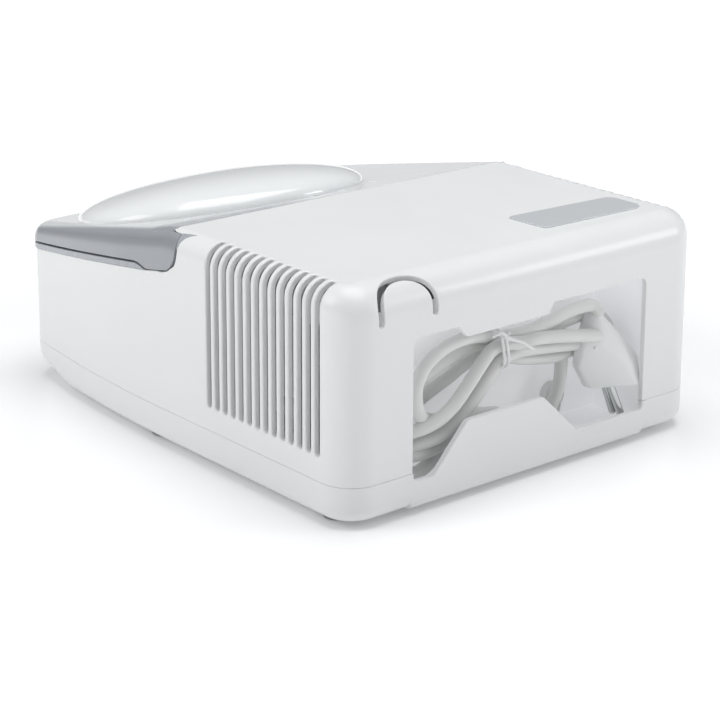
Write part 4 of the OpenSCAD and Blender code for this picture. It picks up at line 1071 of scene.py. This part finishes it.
def build_plug():
    """Bevelled convex hull of the PLUG points."""
    body = bmesh.new()
    for point in PLUG:
        body.verts.new(Vector([float(v) * 0.001 for v in point]))
    hull = bmesh.ops.convex_hull(body, input=body.verts)
    spare = list({v for v in list(hull["geom_interior"]) + list(hull["geom_unused"])
                  if isinstance(v, bmesh.types.BMVert)})
    bmesh.ops.delete(body, geom=spare, context="VERTS")
    bmesh.ops.dissolve_limit(body, angle_limit=math.radians(4), verts=body.verts, edges=body.edges)
    edges = [e for e in body.edges if e.calc_face_angle(0) > math.radians(12)]
    bmesh.ops.bevel(body, geom=edges, offset=1.5 * 0.001, segments=4, profile=0.5,
                    affect="EDGES", clamp_overlap=True)
    bmesh.ops.triangulate(body, faces=[f for f in body.faces if len(f.verts) > 4])
    body.normal_update()
    mesh = bpy.data.meshes.new("mains_plug")
    body.to_mesh(mesh)
    body.free()
    mesh.shade_smooth()
    mesh.set_sharp_from_angle(angle=math.radians(25.0))
    return link_object("mains_plug", mesh)


def build_plug_boss():
    skin = Skin()
    tube(skin, PLUG_BOSS, 0.85, sides=12, step=0.3)
    return skin.build("mains_plug_boss")


def build_plug_pins():
    skin = Skin()
    for root, tip in PLUG_PINS:
        root, tip = np.array(root), np.array(tip)
        tube(skin, [root, 0.5 * (root + tip), tip], 1.95, sides=18)
    return skin.build("mains_plug_pins")


# ---------------------------------------------------------------- feet
FEET = [(97, 116), (-97, 116), (97, -15), (-97, -15), (60, -112), (-60, -112)]


def lathe(skin, profile, sides, centre, smooth_below=32.0):
    """Turn a closed (radius, height) profile about Z; gentler corners are shaded smooth."""
    edge = unit(np.roll(profile, -1, 0) - profile)
    normal = np.stack([edge[:, 1], -edge[:, 0]], 1)
    angle = np.linspace(0, 2 * PI, sides + 1)[:-1]
    smooth = math.cos(math.radians(smooth_below))

    def turned(pair):
        return np.stack([pair[0] * np.cos(angle), pair[0] * np.sin(angle),
                         np.full(sides, pair[1])], 1)

    def shared(k, other):
        return unit((normal[other] if (normal[other] * normal[k]).sum() > smooth else normal[k])
                    + normal[k])

    for k in range(len(profile)):
        after = (k + 1) % len(profile)
        skin.strip(turned(profile[k]) + centre, turned(shared(k, k - 1)),
                   turned(profile[after]) + centre, turned(shared(k, after)))


def build_feet():
    skin = Skin()
    profile = rounded([(0, 0.0), (6.3, 0.0), (6.5, 2.9), (0, 2.9)], [0, 0.9, 0.2, 0], 5)
    for x, y in FEET:
        lathe(skin, profile, 36, np.array([x, y, 0.0]))
    return skin.build("feet_pads")


# ---------------------------------------------------------------- materials
def material(name, colour, rough, metal=0.0, coat=0.0, var=0.03, rough_var=0.05, bump=0.04,
             bump_scale=900.0, wear=0.12, trans=0.0, ior=1.46, alpha=1.0, emit=0.0,
             painted_reflection_by_facing=None, clear_colour=None):
    """Principled material with mottled colour and roughness, fine bump and paler worn edges.

    painted_reflection_by_facing: (normal z, factor) stops of a painted reflection and shade, which
    darken and lighten the colour by the facing of the surface. clear_colour: colour where attribute
    "clear" is 1; the two are given together.
    """
    made = bpy.data.materials.new(name)
    made.use_nodes = True
    tree = made.node_tree
    tree.nodes.clear()
    add, link = tree.nodes.new, tree.links.new

    def ramp(fac, stops):
        node = add("ShaderNodeValToRGB")
        elements = node.color_ramp.elements
        for element, (position, value) in zip(elements, (stops[0], stops[-1])):
            element.position, element.color = position, value
        for position, value in stops[1:-1]:
            elements.new(position).color = value
        link(fac, node.inputs["Fac"])
        return node.outputs["Color"]

    output = add("ShaderNodeOutputMaterial")
    shader = add("ShaderNodeBsdfPrincipled")
    values = shader.inputs
    coords = add("ShaderNodeTexCoord")
    noises = []
    for scale, detail in ((14.0, 4.0), (55.0, 3.0), (bump_scale, 3.0)):
        noise = add("ShaderNodeTexNoise")
        noise.inputs["Scale"].default_value = scale
        noise.inputs["Detail"].default_value = detail
        link(coords.outputs["Object"], noise.inputs["Vector"])
        noises.append(noise.outputs["Fac"])
    mottle, rough_noise, bump_noise = noises

    dark = [c * (1 - var) for c in colour] + [1]
    light = [min(1.0, c * (1 + var)) for c in colour] + [1]
    base = ramp(mottle, [(0.35, dark), (0.65, light)])
    geometry = add("ShaderNodeNewGeometry")
    edges = ramp(geometry.outputs["Pointiness"], [(0.53, (0, 0, 0, 1)), (0.62, (1, 1, 1, 1))])
    amount = add("ShaderNodeMath")
    amount.operation = "MULTIPLY"
    amount.inputs[1].default_value = wear
    link(edges, amount.inputs[0])
    worn = add("ShaderNodeMix")
    worn.data_type = "RGBA"
    link(amount.outputs[0], worn.inputs["Factor"])
    link(base, worn.inputs["A"])
    worn.inputs["B"].default_value = [min(1.0, c * 1.12 + 0.03) for c in colour] + [1]
    result = worn.outputs["Result"]

    if painted_reflection_by_facing:
        clear = add("ShaderNodeAttribute")
        clear.attribute_name = "clear"
        to_clear = add("ShaderNodeMix")
        to_clear.data_type = "RGBA"
        to_clear.inputs["B"].default_value = list(clear_colour) + [1]
        # painted reflection and shade by the facing of the surface: the normal's z darkens and
        # lightens the smoked colour, standing in for reflections on the lid's rounded band
        split = add("ShaderNodeSeparateXYZ")
        link(geometry.outputs["Normal"], split.inputs[0])
        painted_reflection_ramp = ramp(split.outputs["Z"], [(at, [value] * 3 + [1]) for at, value in painted_reflection_by_facing])
        colour_with_painted_reflection = add("ShaderNodeMix")
        colour_with_painted_reflection.data_type, colour_with_painted_reflection.blend_type = "RGBA", "MULTIPLY"
        colour_with_painted_reflection.inputs["Factor"].default_value = 1.0
        link(result, colour_with_painted_reflection.inputs["A"])
        link(painted_reflection_ramp, colour_with_painted_reflection.inputs["B"])
        link(clear.outputs["Fac"], to_clear.inputs["Factor"])
        link(colour_with_painted_reflection.outputs["Result"], to_clear.inputs["A"])
        result = to_clear.outputs["Result"]

    # painted glow: emission in the surface's own colour, for parts that are no lamp
    if emit:
        link(result, values["Emission Color"])
        values["Emission Strength"].default_value = emit
    spread = add("ShaderNodeMapRange")
    spread.inputs["To Min"].default_value = max(0.0, rough - rough_var)
    spread.inputs["To Max"].default_value = min(1.0, rough + rough_var)
    link(rough_noise, spread.inputs["Value"])
    link(spread.outputs["Result"], values["Roughness"])
    grain = add("ShaderNodeBump")
    grain.inputs["Strength"].default_value = bump
    grain.inputs["Distance"].default_value = 0.0002
    link(bump_noise, grain.inputs["Height"])
    link(grain.outputs["Normal"], values["Normal"])
    link(result, values["Base Color"])
    for key, value in (("Metallic", metal), ("Coat Weight", coat), ("Coat Roughness", 0.08),
                       ("IOR", ior), ("Transmission Weight", trans), ("Alpha", alpha)):
        values[key].default_value = value

    surface = shader.outputs["BSDF"]
    if trans > 0.3:
        # clear parts let light through instead of casting a hard shadow
        path = add("ShaderNodeLightPath")
        passing = add("ShaderNodeBsdfTransparent")
        passing.inputs["Color"].default_value = [0.6 + 0.38 * c for c in colour] + [1]
        mix = add("ShaderNodeMixShader")
        link(path.outputs["Is Shadow Ray"], mix.inputs[0])
        link(surface, mix.inputs[1])
        link(passing.outputs["BSDF"], mix.inputs[2])
        surface = mix.outputs[0]
    link(surface, output.inputs["Surface"])
    made.diffuse_color = list(colour) + [1]
    return made


def give(thing, made):
    thing.data.materials.clear()
    thing.data.materials.append(made)


# slot: (material name, colour, settings)
MATERIAL_TABLE = {
    "casing_white": ("casing white", (0.83, 0.84, 0.84), dict(
        rough=0.34, coat=0.12, var=0.012, bump=0.03, bump_scale=1400, wear=0.10)),
    "inner_white": ("inner white", (0.82, 0.825, 0.84), dict(rough=0.5, var=0.015, bump=0.05)),
    # painted glow: the liner gives off light in its own colour, brightening the cord bay as if more
    # light reached into it
    "liner_white": ("liner white", (0.84, 0.845, 0.86), dict(
        rough=0.5, var=0.015, bump=0.05, emit=0.22)),
    "lid_smoke": ("smoked lid", (0.40, 0.415, 0.445), dict(
        rough=0.26, coat=0.12, rough_var=0.03, bump=0.015, wear=0.1, trans=0.1,
        # painted reflection and shade: the smoked colour is darkened and lightened by the facing of
        # the surface
        painted_reflection_by_facing=[(0.0, 1.02), (0.25, 0.92), (0.55, 0.78), (0.85, 0.95), (1.0, 0.85)],
        clear_colour=(0.76, 0.775, 0.785))),
    # painted glow: the clear dome gives off faint light in its own colour, brightening it
    "lid_clear": ("clear dome", (0.93, 0.945, 0.95), dict(
        rough=0.09, coat=0.6, var=0.006, rough_var=0.02, bump=0.01, wear=0.05, alpha=0.8,
        emit=0.05)),
    "trim_grey": ("trim grey", (0.40, 0.42, 0.45), dict(
        rough=0.28, coat=0.3, var=0.02, bump=0.02, wear=0.0)),
    "badge": ("blank badge", (0.66, 0.68, 0.70), dict(
        rough=0.3, metal=0.25, var=0.01, bump=0.02, bump_scale=500)),
    "foot_rubber": ("foot rubber", (0.30, 0.31, 0.32), dict(rough=0.75, var=0.05, bump=0.15)),
    "black_rubber": ("black rubber", (0.03, 0.03, 0.032), dict(rough=0.7, var=0.1, bump=0.15)),
    "steel": ("zinc steel", (0.62, 0.63, 0.64), dict(
        rough=0.32, metal=1.0, var=0.05, bump=0.06, bump_scale=300)),
    "lamination": ("laminations", (0.16, 0.16, 0.175), dict(
        rough=0.4, metal=0.6, var=0.1, bump=0.15, bump_scale=1800)),
    "alu_cast": ("cast aluminium", (0.60, 0.61, 0.62), dict(
        rough=0.42, metal=0.95, var=0.06, bump=0.2, bump_scale=600)),
    "brass": ("sintered bronze", (0.55, 0.36, 0.14), dict(
        rough=0.38, metal=1.0, var=0.06, bump=0.1)),
    "copper": ("enamelled copper", (0.45, 0.16, 0.05), dict(
        rough=0.3, metal=0.8, coat=0.5, var=0.08, bump=0.3, bump_scale=1500)),
    "dark_plastic": ("dark plastic", (0.05, 0.052, 0.056), dict(rough=0.42, var=0.08, bump=0.06)),
    "cord_pvc": ("cord pvc", (0.74, 0.745, 0.73), dict(rough=0.42, var=0.02, bump=0.03)),
    # painted glow: the plug gives off faint light in its own colour, brightening it
    "plug_white": ("plug white", (0.80, 0.81, 0.81), dict(
        rough=0.4, var=0.015, bump=0.05, emit=0.04)),
    "pin_nickel": ("nickel pins", (0.55, 0.56, 0.56), dict(
        rough=0.2, metal=1.0, var=0.04, bump=0.02)),
    "ptfe": ("ptfe", (0.66, 0.64, 0.58), dict(rough=0.55, var=0.04)),
    "clear_part": ("clear part", (0.88, 0.92, 0.94), dict(
        rough=0.1, var=0.01, rough_var=0.03, bump=0.02, trans=0.75, ior=1.3)),
    "silicone_tube": ("silicone tube", (0.72, 0.75, 0.76), dict(
        rough=0.3, var=0.02, bump=0.03, trans=0.3)),
    "filter_foam": ("filter foam", (0.75, 0.76, 0.77), dict(
        rough=0.9, var=0.06, bump=0.8, bump_scale=1200)),
    "wire": ("wire", (0.30, 0.05, 0.04), dict(rough=0.45, var=0.1, bump=0.05)),
    "tie": ("tie white", (0.80, 0.80, 0.80), dict(rough=0.45, var=0.01, bump=0.02)),
}

# ---------------------------------------------------------------- build and hand over
MOVING = ("lid", "rocker", "rotor", "piston", "intake_valve", "exhaust_valve", "filter")
ROOT = [body for body in frame["bodies"] if body not in MOVING][0]

# object, body it rides, material slot, CAD nodes it replaces
PIECES = [
    (build_upper_shell(), ROOT, "casing_white", ["upper_shell"]),
    (build_lower_shell(), ROOT, "casing_white", ["lower_shell"]),
    (build_lid_frame(), "lid", "lid_smoke", ["lid_frame"]),
    (build_dome(), "lid", "lid_clear", ["lid_dome"]),
    (build_trim(), ROOT, "trim_grey", ["deck_trim"]),
    (build_tips(), ROOT, "trim_grey", []),
    (build_badge(), ROOT, "badge", ["badge_plate"]),
    (build_cord(), ROOT, "cord_pvc", ["power_cord"]),
    (build_tie(), ROOT, "inner_white", ["cord_tie"]),
    (build_plug(), ROOT, "plug_white", ["plug_body"]),
    (build_plug_boss(), ROOT, "plug_white", []),
    (build_plug_pins(), ROOT, "pin_nickel", ["plug_pins"]),
    (build_feet(), ROOT, "foot_rubber", ["rubber_feet"]),
]
MATERIALS = {slot: material(name, colour, **settings)
             for slot, (name, colour, settings) in MATERIAL_TABLE.items()}

for piece, body, slot, nodes in PIECES:
    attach(piece, body)
    if nodes:
        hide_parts(*nodes)
    # the tie keeps the inner white slot but has its own material
    give(piece, MATERIALS["tie" if piece.name == "cord_twist_tie" else slot])

NODE_SLOTS = {part["node"]: part["material_slot"] for part in frame["record"]["subparts"]}
for name, node in NODES.items():
    give(node, MATERIALS[NODE_SLOTS.get(name, "dark_plastic")])
give(NODES["cable_bay_liner"], MATERIALS["liner_white"])


# ---------------------------------------------------------------- floor (metres from here on)
def floor_material():
    """Near white, with a glow that grows away from the product."""
    made = material("floor", (0.93, 0.935, 0.94), rough=0.32, var=0.004, bump=0.0, wear=0.0)
    tree = made.node_tree
    coords = tree.nodes.new("ShaderNodeTexCoord")
    distance = tree.nodes.new("ShaderNodeVectorMath")
    distance.operation = "LENGTH"
    glow = tree.nodes.new("ShaderNodeMapRange")
    for key, value in (("From Min", 0.16), ("From Max", 0.75), ("To Min", 0.10), ("To Max", 0.62)):
        glow.inputs[key].default_value = value
    shader = [node for node in tree.nodes if node.type == "BSDF_PRINCIPLED"][0]
    shader.inputs["Emission Color"].default_value = (1, 1, 1, 1)
    tree.links.new(coords.outputs["Object"], distance.inputs[0])
    tree.links.new(distance.outputs["Value"], glow.inputs["Value"])
    tree.links.new(glow.outputs["Result"], shader.inputs["Emission Strength"])
    return made


def build_floor(half=6.0, cells=24):
    mesh = bpy.data.meshes.new("floor")
    ticks = np.linspace(-half, half, cells + 1)
    row = cells + 1
    mesh.from_pydata([(float(x), float(y), 0.0) for y in ticks for x in ticks], [],
                     [(j * row + i, j * row + i + 1, (j + 1) * row + i + 1, (j + 1) * row + i)
                      for j in range(cells) for i in range(cells)])
    floor = link_object("floor", mesh)
    give(floor, floor_material())


# ---------------------------------------------------------------- world, lights, camera
def build_world():
    """Dim cool fill for the lighting, plain white to the camera."""
    world = bpy.data.worlds.new("studio")
    world.use_nodes = True
    tree = world.node_tree
    fill = tree.nodes["Background"]
    fill.inputs["Color"].default_value = (0.97, 0.985, 1.0, 1)
    fill.inputs["Strength"].default_value = 0.29
    path = tree.nodes.new("ShaderNodeLightPath")
    mix = tree.nodes.new("ShaderNodeMixShader")
    white = tree.nodes.new("ShaderNodeBackground")
    white.inputs["Color"].default_value = (1, 1, 1, 1)
    white.inputs["Strength"].default_value = 1.0
    tree.links.new(path.outputs["Is Camera Ray"], mix.inputs[0])
    tree.links.new(fill.outputs[0], mix.inputs[1])
    tree.links.new(white.outputs[0], mix.inputs[2])
    tree.links.new(mix.outputs[0], tree.nodes["World Output"].inputs["Surface"])
    bpy.context.scene.world = world


def area_light(name, place, target, size, power, colour):
    light = bpy.data.lights.new(name, "AREA")
    light.shape = "RECTANGLE"
    light.size = light.size_y = size
    light.energy = power
    light.color = colour
    lamp = link_object(name, light)
    lamp.location = place
    aim = Vector(target) - Vector(place)
    lamp.rotation_euler = aim.to_track_quat("-Z", "Y").to_euler()


def build_camera(place, yaw, pitch, roll, lens, shift_y):
    """Camera aimed by yaw about Z, pitch below the horizon and roll, in degrees."""
    data = bpy.data.cameras.new("camera")
    data.sensor_width = 36.0
    data.lens = lens
    data.shift_y = shift_y
    data.clip_end = 50
    yaw, pitch, roll = math.radians(yaw), math.radians(pitch), math.radians(roll)
    forward = np.array([math.cos(yaw) * math.cos(pitch), math.sin(yaw) * math.cos(pitch),
                        -math.sin(pitch)])
    level = np.array([math.sin(yaw), -math.cos(yaw), 0.0])
    down = np.cross(forward, level)
    cos, sin = math.cos(roll), math.sin(roll)
    right, down = cos * level + sin * down, -sin * level + cos * down
    camera = bpy.data.objects.new("camera", data)
    pose = Matrix.Identity(4)
    for i in range(3):
        pose[i][0], pose[i][1], pose[i][2], pose[i][3] = right[i], -down[i], -forward[i], place[i]
    camera.matrix_world = pose
    bpy.context.scene.collection.objects.link(camera)
    bpy.context.scene.camera = camera


build_floor()
build_world()
area_light("key", place=(1.25, -0.55, 0.95), target=(0, 0, 0.06), size=0.9, power=7.5,
           colour=(1.0, 0.995, 0.985))
area_light("top", place=(-0.1, 0.1, 1.5), target=(0, 0, 0.05), size=1.2, power=15.5,
           colour=(0.985, 0.99, 1.0))
area_light("side", place=(-0.80, 0.80, 0.50), target=(-0.09, 0.13, 0.045), size=0.30, power=2.0,
           colour=(0.98, 0.99, 1.0))
build_camera(place=(0.6547, 0.7971, 0.3744), yaw=-129.9336, pitch=14.8705, roll=-0.2348,
             lens=108.23, shift_y=-0.216)
bpy.context.scene.view_settings.view_transform = "Standard"
